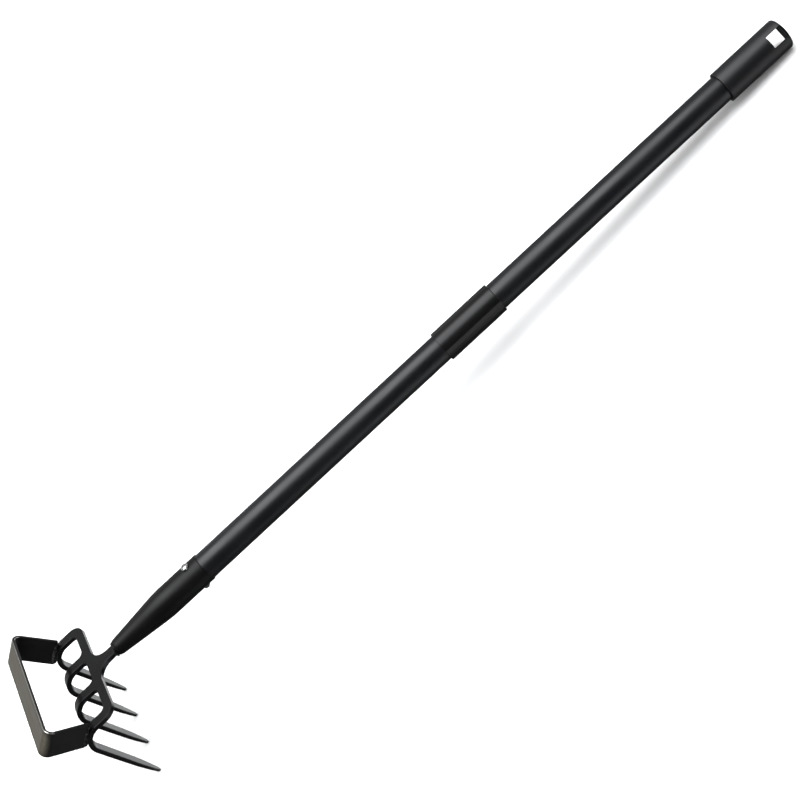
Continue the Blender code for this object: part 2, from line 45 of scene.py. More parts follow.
SLEEVE_SMOOTH_ANGLE = 12.0

# Handle
TUBE_RADIUS = 14.0
TUBE_WALL = 1.0
TUBE_LIP = 0.25
TUBE_LIP_STEPS = 4
SEAM_Y = 342.0
TUBE_TOP_Y = 718.0
TUBE_BOTTOM_Y = -52.0
SWAGE_RADIUS = 13.3
SWAGE_START_Y = -0.2
SWAGE_END_Y = -4.4
SWAGE_STEPS = 8
SPIGOT_WALL = 1.2
SPIGOT_BELOW = 70.0
SPIGOT_ABOVE = 55.0
SPIGOT_LEAD_IN = 3.0
SPIGOT_NOSE_CUT = 0.75
SPIGOT_NOSE_STEPS = 6
SPIGOT_EDGE = 0.2

# Socket
SOCKET_RADIUS = 14.95
SOCKET_WALL = 1.25
SOCKET_RIM_Y = -0.8
SOCKET_RIM_ROUND = 0.55
SOCKET_MOUTH_DEPTH = 4.2
SOCKET_MOUTH_EDGE = 0.1
SOCKET_MOUTH_EDGE_DEPTH = 0.2
SOCKET_TAPER_Y = -56.0
SOCKET_SOFTENING = 9.0
SOCKET_SOFTENING_STEPS = 8
SOCKET_NOSE_Y = -114.3
SOCKET_END_Y = -118.6
SOCKET_NOSE_RADIUS = 8.7
SOCKET_END_RADIUS = 6.9
SOCKET_END_BEVEL = 1.0
SOCKET_NOSE_START = 1.5
SOCKET_NOSE_STEPS = 7
SOCKET_ARC_STEPS = 6
SOCKET_FLOOR_Y = -106.0

# Cross screw and nut
SCREW_Y = -14.0
SCREW_RADIUS = 2.0
SCREW_HEAD_RADIUS = 4.1
SCREW_HEAD_HEIGHT = 2.9
SCREW_HEAD_EDGE = 0.2
SCREW_CROWN = 2.1
SCREW_CROWN_POWER = 0.8
SCREW_CROWN_STEPS = 12
SCREW_TAIL = 2.0
THREAD_FLANK = 0.3
THREAD_PITCH = 0.7
THREAD_DEPTH = 0.35
THREAD_INSIDE = 2.0
THREAD_END_CUT = 0.5
RECESS_NEAR = 0.5
RECESS_FAR = 2.3
RECESS_DEPTH = 2.0
RECESS_MOUTH_SHARE = 1.15
RECESS_FLOOR_SHARE = 0.4
SMALL_ROUND_STEPS = 48
NUT_ACROSS_FLATS = 7.0
NUT_HEIGHT = 3.6
NUT_CHAMFER_INSET = 0.15
NUT_CHAMFER_SKIM = 0.05
NUT_CHAMFER_OUT = 1.5
NUT_CHAMFER_DROP = 0.9
SEAT_Z = SOCKET_RADIUS + GAP

# Fork
FORK_THICKNESS = 5.0
NECK_BACK = 108.0
NECK_HALF_WIDTH = 6.1
NECK_WAIST_HALF_WIDTH = 6.4
NECK_FILLET = 15.0
FILLET_STEPS = 20
BAR_BACK = 142.8
SHOULDER_RADIUS = 13.0
FINGER_PITCH = 42.0
FINGER_HALF_WIDTH = 5.5
BAR_HALF_WIDTH = 1.5 * FINGER_PITCH + FINGER_HALF_WIDTH
CROTCH = 152.0
CROTCH_RADIUS = 6.0
CROTCH_STEPS = 12
BEND_START = 167.2
BEND_RADIUS = 18.5
BEND_ANGLE = math.radians(101.5)
BEND_STEPS = 28
TINE_LENGTH = 76.0
TINE_ROOT_HALF_WIDTH = 5.2
TINE_HALF_WIDTH = 4.7
TINE_SHAFT_STEPS = 4
TINE_POINT = 30.0
TINE_POINT_STEPS = 12
POINT_TAPER = 0.22
POINT_ROUNDING = 0.38
POINT_POWER = 2.2
TIP_HALF_WIDTH = 1.85
TIP_START_ANGLE = 0.35
TIP_STEPS = 6
TIP_THICKNESS_SHARE = 0.55
THINNING = 2.2
TIP_WEAR = 0.5
TIP_WEAR_FROM = 0.82
TIP_WEAR_OVER = 0.18
FORK_EDGE = 0.7
FORK_EDGE_STEPS = 4
FORK_EDGE_ANGLE = 40.0
TINE_START = BEND_START + BEND_ANGLE * BEND_RADIUS
TINE_END = TINE_START + TINE_LENGTH

# Stirrup blade
BLADE_LEAN = math.radians(52.7)
BLADE_Y = -207.0
BLADE_Z = 34.1
BLADE_WIDTH = 156.5
STRIP_WIDTH = 28.0
STRIP_THICKNESS = 3.0
ARM_SPLAY = math.radians(16.0)
BLADE_CORNER = 8.0
BLADE_CORNER_STEPS = 16
BLADE_STRAIGHT_STEPS = 12
BLADE_SOFT_EDGE = 0.5
BLADE_SOFT_MIDDLE = 0.3
GROUND_EDGE = 0.40
GROUND_EDGE_WIDER = 0.15
GROUND_EDGE_DEEPER = 0.10
GROUND_FROM = 0.25
GROUND_OVER = 0.6
BARE_FROM = 0.1
BARE_OVER = 0.8
# How far the bare steel fades towards the strip's edges: painted reflection, lighter down the middle of the
# face
PAINTED_SHEEN_FADE = 0.85
OUTSIDE_SHARE = 0.2
FORWARD = Vector((0.0, -math.cos(BLADE_LEAN), math.sin(BLADE_LEAN)))
ACROSS_STRIP = Vector((0.0, math.sin(BLADE_LEAN), math.cos(BLADE_LEAN)))
BEND_CENTRE = Vector((0.0, -BEND_START, -BEND_RADIUS))
ARM_LENGTH = ((Vector((0.0, BLADE_Y, BLADE_Z)) - BEND_CENTRE).dot(FORWARD)
              - BEND_RADIUS - FORK_THICKNESS / 2 - GAP)

# Welds at the arms
WELD_SHIFT = -1.5
WELD_HALF_LENGTH = 12.4
WELD_HALF_WIDTH = 3.3
WELD_OVER_ARM = 3.2
WELD_INTO_FINGER = 1.6
WELD_DEEPEST = 4.5
WELD_SEGMENTS = (72, 96)
WELD_RIPPLE_RATE = 2.1
WELD_RIPPLE_SLANT = 1.3
WELD_WANDER = 0.8
WELD_WANDER_RATE = 0.9
WELD_SWELL = 0.035

# Weld round the neck
BEAD_RADIUS = 0.8
BEAD_CORNER = 1.6
BEAD_CORNER_STEPS = 10
BEAD_STRAIGHT_STEPS = 14
BEAD_SECTION_STEPS = 16
BEAD_RIPPLE_RATE = 1.35
BEAD_SWELL = 0.08
BEAD_CREST = 0.3

# Coupling sleeve
SLEEVE_START_Y = 307.4
SLEEVE_END_Y = 377.5
SLEEVE_THIN_RADIUS = 14.8
SLEEVE_THICK_RADIUS = 16.1
SLEEVE_LIP_NEAR = math.radians(23.0)
SLEEVE_LIP_NEAR_END = math.radians(39.0)
SLEEVE_LIP_FAR = math.radians(-84.6)
SLEEVE_LIP_FAR_END = math.radians(-86.0)
SLEEVE_RIM = 0.42
SLEEVE_RIM_STEPS = 6
SLEEVE_CHAMFER = 0.6
SLEEVE_THIN_STEPS = 48
SLEEVE_THICK_STEPS = 96
SLEEVE_RAMP_SHARES = (0.04, 0.5, 0.92)

# End cap
CAP_START_Y = 665.3
CAP_END_Y = 743.8
CAP_RADIUS = 16.4
CAP_RIM = 0.5
CAP_RIM_STEPS = 6
CAP_MOUTH_EDGE = 0.25
CAP_DOME_RADIUS = 36.0
CAP_EDGE = 3.0
CAP_EDGE_STEPS = 12
HOLE_START_Y = 722.6
HOLE_END_Y = 741.0
HOLE_WIDTH = 13.3
BAR_DEPTH = 16.0
NOTCH_INSET = 5.0
GROOVE_OUT = 2.5
GROOVE_DEPTH = 0.7
BAR_CHAMFER = 0.8
CUTTER_REACH = 25.0
FRONT_ANGLE = math.radians(38.5)

# Camera, in the tool's frame
CAMERA_PLACE = Vector((1210.3, 315.1, 943.5))
CAMERA_FORWARD = Vector((-0.78388, -0.04596, -0.61920))
CAMERA_UP = Vector((-0.47947, 0.67842, 0.55664))
CAMERA_LENS = 72.77
CAMERA_SENSOR = 36.0

# Floor and backdrop, in metres
FLOOR_RADIUS = 20.0
BACKDROP_HEIGHT = 10.0
BACKDROP_OVERLAP = 0.5
BACKDROP_STEPS = 12
STAGE_STEPS = 96

# Colours, each a darker and a lighter one that the material drifts between
TUBE_COAT = ((0.0022, 0.0025, 0.0034), (0.0040, 0.0044, 0.0058))
SOCKET_COAT = ((0.0012, 0.0012, 0.0013), (0.0026, 0.0026, 0.0028))
RUBBED_GAIN = 1.6
CAP_PLASTIC = ((0.0030, 0.0032, 0.0036), (0.0055, 0.0057, 0.0062))
SLEEVE_PLASTIC = ((0.0018, 0.0018, 0.0020), (0.0034, 0.0034, 0.0036))
MATTE_PLASTIC = (0.012, 0.012, 0.012)
FORK_COAT = ((0.0016, 0.0016, 0.0017), (0.0034, 0.0034, 0.0036))
WORN_FORK = (0.16, 0.155, 0.15)
BLADE_COAT = ((0.0022, 0.0022, 0.0022), (0.0048, 0.0048, 0.0048))
BLADE_STEEL = ((0.100, 0.089, 0.064), (0.185, 0.167, 0.125))
GRIND_MARKS = (0.21, 0.20, 0.17)
# Bright steel of the ground edges, also laid on the inner edges round the corners as a painted glint
GROUND_STEEL_AND_GLINT = (0.58, 0.57, 0.54)
WELD_COAT = (0.004, 0.004, 0.004)
WELD_METAL = (0.11, 0.105, 0.095)
SCREW_ZINC = ((0.62, 0.63, 0.64), (0.86, 0.86, 0.85))
# The screw's zinc made darker for the nut: painted shade, where the nut hangs under the socket
SHADED_NUT_ZINC = ((0.16, 0.16, 0.16), (0.30, 0.30, 0.29))
DRAWN_STEEL = ((0.42, 0.42, 0.43), (0.60, 0.60, 0.60))
FLOOR_PAPER = ((0.86, 0.86, 0.86), (0.88, 0.88, 0.88))
EVEN = (1.0, 1.0, 1.0)

# Studio: an even wash for the floor, and soft panels that only the gloss shows clearly. A panel is
# (direction, brightness, angle that it is full to, angle that it fades out at).
WASH_ENERGY = 2.6
WASH_ANGLE = math.radians(140.0)
ROOM_BRIGHTNESS = 0.06
ROOM_COLOUR = (0.97, 0.985, 1.0)
PANELS = (
    ((0.035, 0.0, 1.0), 5.2, 12.0, 38.0),
    ((-0.80, 0.0, 0.60), 0.26, 15.0, 50.0),
    ((0.70, 0.30, -0.64), 0.95, 14.0, 34.0),
    ((-0.75, -0.60, 0.10), 0.42, 15.0, 45.0),
    ((-0.71, 0.52, -0.47), 2.6, 16.0, 30.0),
    ((0.0, 1.0, 0.05), 0.9, 12.0, 30.0),
    ((0.17, -0.97, 0.13), 0.9, 12.0, 28.0),
)

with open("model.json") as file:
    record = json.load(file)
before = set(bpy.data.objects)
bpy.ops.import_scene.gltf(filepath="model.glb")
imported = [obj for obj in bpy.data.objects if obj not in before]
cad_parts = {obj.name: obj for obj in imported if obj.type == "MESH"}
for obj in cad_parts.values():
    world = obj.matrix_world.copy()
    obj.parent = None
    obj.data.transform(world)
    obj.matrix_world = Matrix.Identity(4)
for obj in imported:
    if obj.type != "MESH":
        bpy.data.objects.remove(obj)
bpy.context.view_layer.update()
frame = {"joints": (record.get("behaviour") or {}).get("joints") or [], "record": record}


def tool_matrix():
    """The tool's frame in the row frame, from the sleeve's slide axis and the hanging bar's face."""
    along = Vector(frame["joints"][0]["axis"]).normalized()
    mount = Vector(frame["record"]["mounts"][0]["pos_m"])
    across = Vector((1.0, 0.0, 0.0))
    turn = Matrix((across, along, across.cross(along))).transposed()
    return Matrix.Translation(mount - along * HOLE_END_Y * MM) @ turn.to_4x4() @ Matrix.Scale(MM, 4)


TOOL = tool_matrix()


# ---- Materials

def filled(node, **values):
    """A node with numbers set on its own sockets, with _ for a space in a socket's name."""
    for key, value in values.items():
        node.inputs[key.replace("_", " ")].default_value = value
    return node


def new_node(tree, kind, **values):
    return filled(tree.nodes.new("ShaderNode" + kind), **values)


class Paint:
    """A node material that is put together one node at a time."""

    def __init__(self, name, **values):
        self.mat = bpy.data.materials.new(name)
        self.mat.use_nodes = True
        self.tree = self.mat.node_tree
        self.shader = filled(self.tree.nodes["Principled BSDF"], **values)
        self.coords = new_node(self.tree, "TexCoord")

    def link(self, output, target):
        self.tree.links.new(output, target)

    def mapped(self, scale):
        """Object coordinates, stretched by a scale for each axis."""
        node = new_node(self.tree, "Mapping", Scale=scale)
        self.link(self.coords.outputs["Object"], node.inputs["Vector"])
        return node.outputs["Vector"]

    def noise(self, scale, detail, stretch=EVEN, roughness=0.5):
        """Noise at a scale per metre, drawn out along the axes whose stretch is small."""
        node = new_node(self.tree, "TexNoise", Scale=scale, Detail=detail, Roughness=roughness)
        self.link(self.mapped(stretch), node.inputs["Vector"])
        return node.outputs["Fac"]

    def ranged(self, value, low, high, to_low, to_high):
        """A value carried smoothly from one range to another, and held at its ends."""
        node = new_node(self.tree, "MapRange", From_Min=low, From_Max=high, To_Min=to_low, To_Max=to_high)
        node.interpolation_type = "SMOOTHSTEP"
        self.link(value, node.inputs["Value"])
        return node.outputs["Result"]

    def drift(self, noise, low, high):
        """A number that drifts between two with a noise, most of which lies from 0.3 to 0.7."""
        return self.ranged(noise, 0.3, 0.7, low, high)

    def maths(self, operation, a, b):
        """One sum; a and b are each a float or an output."""
        node = new_node(self.tree, "Math")
        node.operation = operation
        for value, socket in ((a, node.inputs[0]), (b, node.inputs[1])):
            if isinstance(value, float):
                socket.default_value = value
            else:
                self.link(value, socket)
        return node.outputs[0]

    def mixed(self, share, first, second):
        """A colour between two, each a tuple or an output."""
        node = new_node(self.tree, "Mix")
        node.data_type = "RGBA"
        self.link(share, node.inputs["Factor"])
        for value, socket in ((first, node.inputs[6]), (second, node.inputs[7])):
            if isinstance(value, tuple):
                socket.default_value = (*value, 1.0)
            else:
                self.link(value, socket)
        return node.outputs[2]

    def attribute(self, name):
        """A number that a piece's mesh carries at its points, or 0 where it has none."""
        node = new_node(self.tree, "Attribute")
        node.attribute_name = name
        return node.outputs["Fac"]

    def bumped(self, *layers):
        """Bumps on top of each other, each a (height, strength, distance)."""
        normal = None
        for height, strength, distance in layers:
            node = new_node(self.tree, "Bump", Strength=strength, Distance=distance)
            self.link(height, node.inputs["Height"])
            if normal:
                self.link(normal, node.inputs["Normal"])
            normal = node.outputs["Normal"]
        self.link(normal, self.shader.inputs["Normal"])
        return self

    def colour(self, output):
        self.link(output, self.shader.inputs["Base Color"])
        return self

    def rough(self, output):
        self.link(output, self.shader.inputs["Roughness"])

    def metallic(self, output):
        self.link(output, self.shader.inputs["Metallic"])


def powder_coat(name, colours, roughness, grain, specular):
    """Baked powder coat: a fine orange peel, faint cloudiness, and rubbed streaks down the handle."""
    paint = Paint(name, Specular_IOR_Level=specular)
    peel = paint.noise(scale=900.0, detail=2.0)
    fine = paint.noise(scale=2600.0, detail=2.0)
    cloud = paint.noise(scale=22.0, detail=4.0)
    rub = paint.noise(scale=260.0, detail=3.0, stretch=(1.0, 0.05, 1.0), roughness=0.6)
    rubbed = paint.ranged(rub, 0.60, 0.72, 0.0, 1.0)
    paint.colour(paint.mixed(paint.maths("MULTIPLY", rubbed, 0.5), paint.mixed(cloud, *colours),
                             tuple(RUBBED_GAIN * c for c in colours[1])))
    sheen = paint.drift(cloud, *roughness)
    paint.rough(paint.maths("SUBTRACT", sheen, paint.maths("MULTIPLY", rubbed, 0.06)))
    return paint.bumped((peel, grain, 0.00025), (fine, grain * 0.6, 0.00008)).mat


def moulded_plastic(name, colours, roughness, grain, specular):
    """Moulded plastic with a spark-eroded grain, faint flow marks along the mould's draw, and a
    duller, paler skin where a piece says that it is matte."""
    paint = Paint(name, Specular_IOR_Level=specular)
    cells = paint.noise(scale=1700.0, detail=2.0)
    flow = paint.noise(scale=60.0, detail=3.0, stretch=(1.0, 0.2, 1.0))
    matte = paint.attribute("matte")
    paint.colour(paint.mixed(matte, paint.mixed(flow, *colours), MATTE_PLASTIC))
    sheen = paint.drift(flow, *roughness)
    paint.rough(paint.maths("ADD", sheen, paint.maths("MULTIPLY", matte, 0.35)))
    return paint.bumped((cells, grain, 0.0002)).mat


def fork_paint(name):
    """Satin black on cut plate: mill marks under the paint, and steel that shows at the tine tips."""
    paint = Paint(name, Specular_IOR_Level=0.32)
    peel = paint.noise(scale=700.0, detail=3.0)
    cloud = paint.noise(scale=35.0, detail=5.0)
    scratch = paint.noise(scale=420.0, detail=2.0, stretch=(0.15, 1.0, 0.25), roughness=0.7)
    scratched = paint.ranged(scratch, 0.66, 0.74, 0.0, 1.0)
    tip = paint.attribute("tip")
    worn = paint.maths("MULTIPLY", tip, paint.ranged(cloud, 0.4, 0.65, 0.2, 1.0))
    worn = paint.maths("MAXIMUM", worn, paint.maths("MULTIPLY", scratched, 0.03))
    paint.colour(paint.mixed(worn, paint.mixed(cloud, *FORK_COAT), WORN_FORK))
    paint.metallic(paint.maths("MULTIPLY", tip, 0.6))
    paint.rough(paint.drift(cloud, 0.25, 0.33))
    return paint.bumped((peel, 0.22, 0.0002), (scratch, 0.05, 0.0001)).mat


def blade_finish(name):
    """Dark rolled steel, ground bright along its two edges, with black coating on the arms. On the front, the
    steel fades to coating towards the strip's edges. That fade is a painted reflection that leaves the middle
    of the face lighter. The bright steel on the inner edges round the corners is a painted glint.
    """
    paint = Paint(name, Specular_IOR_Level=0.28)
    grind = paint.noise(scale=500.0, detail=3.0, stretch=(0.04, 1.0, 1.0), roughness=0.65)
    cloud = paint.noise(scale=40.0, detail=5.0)
    peel = paint.noise(scale=800.0, detail=2.0)
    # Bare steel share, faded towards the strip's edges as a painted reflection
    bare_and_sheen = paint.attribute("bare_and_sheen")
    # Ground steel share, also laid on the inner corners as a painted glint
    ground_and_glint = paint.attribute("ground_and_glint")
    steel = paint.mixed(cloud, *BLADE_STEEL)
    steel = paint.mixed(paint.ranged(grind, 0.35, 0.75, 0.0, 0.5), steel, GRIND_MARKS)
    body = paint.mixed(bare_and_sheen, paint.mixed(cloud, *BLADE_COAT), steel)
    paint.colour(paint.mixed(ground_and_glint, body, GROUND_STEEL_AND_GLINT))
    paint.metallic(paint.maths("MAXIMUM", paint.maths("MULTIPLY", bare_and_sheen, 0.85), ground_and_glint))
    rough = paint.drift(cloud, 0.34, 0.46)
    paint.rough(paint.maths("SUBTRACT", rough, paint.maths("MULTIPLY", ground_and_glint, 0.12)))
    return paint.bumped((grind, 0.12, 0.00012), (peel, 0.12, 0.00015)).mat


def weld_finish(name):
    """A weld run under black coating, with metal showing on its crests."""
    paint = Paint(name, Specular_IOR_Level=0.35)
    ripple = paint.noise(scale=300.0, detail=4.0)
    crest = paint.ranged(paint.attribute("crest"), 0.6, 1.0, 0.0, 0.7)
    shown = paint.maths("MULTIPLY", crest, paint.ranged(ripple, 0.46, 0.6, 0.0, 1.0))
    paint.colour(paint.mixed(shown, WELD_COAT, WELD_METAL))
    paint.metallic(paint.maths("MULTIPLY", shown, 0.8))
    paint.rough(paint.drift(ripple, 0.28, 0.44))
    return paint.bumped((ripple, 0.35, 0.0003)).mat


def bare_metal(name, colours, roughness, stretch=EVEN):
    """Plated or drawn bare metal, with fine lines and cloudy plating."""
    paint = Paint(name, Metallic=1.0)
    lines = paint.noise(scale=1500.0, detail=3.0, stretch=stretch)
    cloud = paint.noise(scale=160.0, detail=4.0)
    paint.colour(paint.mixed(cloud, *colours))
    paint.rough(paint.drift(cloud, *roughness))
    return paint.bumped((lines, 0.12, 0.00006)).mat


def floor_finish(name):
    """Matt paper, barely clouded."""
    paint = Paint(name, Roughness=0.9, Specular_IOR_Level=0.2)
    return paint.colour(paint.mixed(paint.noise(scale=2.0, detail=3.0), *FLOOR_PAPER)).mat


# ---- Mesh helpers

def as_object(name, bm, mat):
    """Turn a bmesh in the scene's metres into a smooth-shaded object."""
    mesh = bpy.data.meshes.new(name)
    bm.to_mesh(mesh)
    bm.free()
    mesh.shade_smooth()
    mesh.materials.append(mat)
    obj = bpy.data.objects.new(name, mesh)
    bpy.context.scene.collection.objects.link(obj)
    return obj


def finish(name, bm, mat, sharp_degrees=SMOOTH_ANGLE):
    """Turn a bmesh in the tool's millimetres into an object of the row frame, sharp where its faces
    meet at more than an angle."""
    bmesh.ops.recalc_face_normals(bm, faces=bm.faces)
    bm.transform(TOOL)
    obj = as_object(name, bm, mat)
    obj.data.set_sharp_from_angle(angle=math.radians(sharp_degrees))
    return obj


def rounded(obj, width, segments, degrees):
    """Round the edges of a piece that are sharper than an angle."""
    bevel = obj.modifiers.new("rounding", "BEVEL")
    bevel.width = width * MM
    bevel.segments = segments
    bevel.limit_method = "ANGLE"
    bevel.angle_limit = math.radians(degrees)
    bevel.use_clamp_overlap = True
    bevel.harden_normals = False
    weigh = obj.modifiers.new("weighting", "WEIGHTED_NORMAL")
    weigh.keep_sharp = False
    return obj


def cut(obj, cutter):
    """Cut with a cutter that is applied at once and then removed."""
    mod = obj.modifiers.new(cutter.name, "BOOLEAN")
    mod.operation = "DIFFERENCE"
    mod.solver = "EXACT"
    mod.object = cutter
    graph = bpy.context.evaluated_depsgraph_get()
    mesh = bpy.data.meshes.new_from_object(obj.evaluated_get(graph))
    mesh.set_sharp_from_angle(angle=math.radians(CUT_SMOOTH_ANGLE))
    obj.modifiers.remove(mod)
    obj.data = mesh
    bpy.data.objects.remove(cutter, do_unlink=True)


def arc(centre, radius, start, end, steps):
    """Points on an arc, from one angle to another, both ends included."""
    points = []
    for i in range(steps + 1):
        angle = start + (end - start) * i / steps
        points.append((centre[0] + radius * math.cos(angle), centre[1] + radius * math.sin(angle)))
    return points


def skin_rings(bm, rings, closed=True):
    """Join a run of closed rings, each to the next one, and in a closed run the last to the first."""
    for ring, following in zip(rings, rings[1:] + rings[:1] if closed else rings[1:]):
        for j in range(len(ring)):
            k = (j + 1) % len(ring)
            bm.faces.new((ring[j], ring[k], following[k], following[j]))


def revolve_y(profile):
    """Turn a closed profile of (radius, y) points about the Y axis."""
    bm = bmesh.new()
    rings = []
    for i in range(ROUND_STEPS):
        angle = 2.0 * math.pi * i / ROUND_STEPS
        ring = []
        for radius, y in profile:
            ring.append(bm.verts.new((radius * math.cos(angle), y, radius * math.sin(angle))))
        rings.append(ring)
    skin_rings(bm, rings)
    bmesh.ops.remove_doubles(bm, verts=bm.verts, dist=MERGE)
    bmesh.ops.dissolve_degenerate(bm, edges=bm.edges, dist=MERGE)
    return bm


def add_prism(bm, bottom, top):
    """Close the space between two rings of as many points with a face on each end."""
    bottom = [bm.verts.new(place) for place in bottom]
    top = [bm.verts.new(place) for place in top]
    bm.faces.new(bottom)
    bm.faces.new(list(reversed(top)))
    for i in range(len(bottom)):
        j = (i + 1) % len(bottom)
        bm.faces.new((bottom[j], bottom[i], top[i], top[j]))


def extrude_outline(points, to_space, low, high):
    """Extrude a closed outline of (u, v) points from one level to another; to_space places a point."""
    bm = bmesh.new()
    add_prism(bm, [to_space(u, v, low) for u, v in points], [to_space(u, v, high) for u, v in points])
    return bm


def as_drawn(u, v, w):
    """A point of an outline that is drawn straight in the tool's frame."""
    return Vector((u, v, w))


def rectangle(left, right, near, far):
    return [(left, near), (right, near), (right, far), (left, far)]


def bump(x):
    """Smooth step from 0 to 1."""
    x = min(max(x, 0.0), 1.0)
    return x * x * (3.0 - 2.0 * x)


# ---- Fork

def bent(x, along, lift):
    """Carry a point of the flat blank, at a distance along it, onto the bent fork."""
    if along <= BEND_START:
        return Vector((x, -along, lift))
    turned = min((along - BEND_START) / BEND_RADIUS, BEND_ANGLE)
    y = -BEND_START - (BEND_RADIUS + lift) * math.sin(turned)
    z = (BEND_RADIUS + lift) * math.cos(turned) - BEND_RADIUS
    rest = max(along - TINE_START, 0.0)
    return Vector((x, y - rest * math.cos(BEND_ANGLE), z - rest * math.sin(BEND_ANGLE)))


def tine_half_width(along):
    """Half the width of a finger and tine at a distance along the blank."""
    if along < TINE_START:
        share = bump((along - BEND_START) / (TINE_START - BEND_START))
        return FINGER_HALF_WIDTH + (TINE_ROOT_HALF_WIDTH - FINGER_HALF_WIDTH) * share
    point = TINE_END - TINE_POINT
    if along < point:
        share = (along - TINE_START) / (point - TINE_START)
        return TINE_ROOT_HALF_WIDTH + (TINE_HALF_WIDTH - TINE_ROOT_HALF_WIDTH) * share
    share = (along - point) / TINE_POINT
    return TINE_HALF_WIDTH * (1.0 - POINT_TAPER * share - POINT_ROUNDING * share ** POINT_POWER)


def tine_stations():
    """Distances along the blank at which a tine is cut across, so that it can bend and taper."""
    stations = [BEND_START + (TINE_START - BEND_START) * i / BEND_STEPS for i in range(BEND_STEPS + 1)]
    shaft = TINE_END - TINE_POINT - TINE_START
    stations += [TINE_START + shaft * i / TINE_SHAFT_STEPS for i in range(1, TINE_SHAFT_STEPS + 1)]
    stations += [TINE_END - TINE_POINT * (1.0 - i / TINE_POINT_STEPS) for i in range(1, TINE_POINT_STEPS)]
    return stations


def tine_outline(centre):
    """Outline of one finger and tine, from its right side to its left, seen with the tip upwards."""
    right = [(tine_half_width(along), along) for along in tine_stations()]
    tip_centre = (0.0, TINE_END - TIP_HALF_WIDTH)
    tip = arc(tip_centre, TIP_HALF_WIDTH, TIP_START_ANGLE, math.pi - TIP_START_ANGLE, TIP_STEPS)
    left = [(-x, along) for x, along in reversed(right)]
    return [(centre + x, along) for x, along in right + tip + left]


def crotch(centre):
    """The rounded back of the window between two fingers, from its right side to its left."""
    reach = FINGER_PITCH / 2 - FINGER_HALF_WIDTH - CROTCH_RADIUS
    level = CROTCH + CROTCH_RADIUS
    right = arc((centre + reach, level), CROTCH_RADIUS, 0.0, -math.pi / 2, CROTCH_STEPS)
    left = arc((centre - reach, level), CROTCH_RADIUS, -math.pi / 2, -math.pi, CROTCH_STEPS)
    return right + left


def fork_outline():
    """The flat blank's outline in (x, distance along), once round, starting at the neck's right."""
    fillet = (NECK_WAIST_HALF_WIDTH + NECK_FILLET, BAR_BACK - NECK_FILLET)
    shoulder = (BAR_HALF_WIDTH - SHOULDER_RADIUS, BAR_BACK + SHOULDER_RADIUS)
    right = [(NECK_HALF_WIDTH, NECK_BACK), (NECK_HALF_WIDTH, -SOCKET_END_Y)]
    right += arc(fillet, NECK_FILLET, math.pi, math.pi / 2, FILLET_STEPS)
    right += arc(shoulder, SHOULDER_RADIUS, -math.pi / 2, 0.0, FILLET_STEPS)
    left = [(-x, along) for x, along in reversed(right)]
    middle = tine_outline(1.5 * FINGER_PITCH)
    for finger in (0.5, -0.5, -1.5):
        middle += crotch((finger + 0.5) * FINGER_PITCH) + tine_outline(finger * FINGER_PITCH)
    return right + middle + left


def make_fork(mat):
    """The flat blank, given its thickness, thinned down the tines, and bent."""
    bm = bmesh.new()
    bm.faces.new([bm.verts.new((u, v, 0.0)) for u, v in fork_outline()])
    for along in tine_stations():
        geometry = bm.verts[:] + bm.edges[:] + bm.faces[:]
        bmesh.ops.bisect_plane(bm, geom=geometry, plane_co=(0, along, 0), plane_no=(0, 1, 0), dist=MERGE)
    bmesh.ops.remove_doubles(bm, verts=bm.verts, dist=MERGE)
    layer = bm.verts.layers.float.new("tip")
    sheet = bmesh.ops.extrude_face_region(bm, geom=bm.faces[:])
    raised = {vert for vert in sheet["geom"] if isinstance(vert, bmesh.types.BMVert)}
    for vert in bm.verts:
        along = vert.co.y
        down_the_tine = min(max((along - TINE_START) / TINE_LENGTH, 0.0), 1.0)
        half = FORK_THICKNESS / 2 * (1.0 - (1.0 - TIP_THICKNESS_SHARE) * down_the_tine ** THINNING)
        vert[layer] = TIP_WEAR * bump((down_the_tine - TIP_WEAR_FROM) / TIP_WEAR_OVER)
        vert.co = bent(vert.co.x, along, half if vert in raised else -half)
    return rounded(finish("fork_plate", bm, mat), FORK_EDGE, FORK_EDGE_STEPS, FORK_EDGE_ANGLE)


# ---- Stirrup blade and welds

def in_loop(u, v, w):
    """A point of the loop's own plane: u across, v back from the blade's face, w across the strip."""
    return Vector((u, BLADE_Y, BLADE_Z)) - FORWARD * v + ACROSS_STRIP * w


def arm_outside(back, offset):
    """How far from the middle an arm is, at a distance back from the blade's face."""
    return BLADE_WIDTH / 2 - back * math.tan(ARM_SPLAY) - offset / math.cos(ARM_SPLAY)


def strip_side(offset):
    """One side of the strip in the loop's plane, from the right arm's end to the left's, and how
    much of each point lies on the front: 0 on an arm, 1 on the blade."""
    radius = BLADE_CORNER - offset
    centre_u = arm_outside(offset, offset) - radius * math.tan((math.pi / 2 + ARM_SPLAY) / 2)
    corner = arc((centre_u, BLADE_CORNER), radius, ARM_SPLAY, -math.pi / 2, BLADE_CORNER_STEPS)
    end = (arm_outside(ARM_LENGTH, offset), ARM_LENGTH)
    half = []
    for i in range(BLADE_STRAIGHT_STEPS):
        share = i / BLADE_STRAIGHT_STEPS
        half.append((end[0] + (corner[0][0] - end[0]) * share, end[1] + (corner[0][1] - end[1]) * share, 0.0))
    half += [(u, v, i / BLADE_CORNER_STEPS) for i, (u, v) in enumerate(corner)]
    last_u, last_v = corner[-1]
    half += [(last_u * (1.0 - i / BLADE_STRAIGHT_STEPS), last_v, 1.0) for i in range(1, BLADE_STRAIGHT_STEPS)]
    return half + [(0.0, last_v, 1.0)] + [(-u, v, front) for u, v, front in reversed(half)]


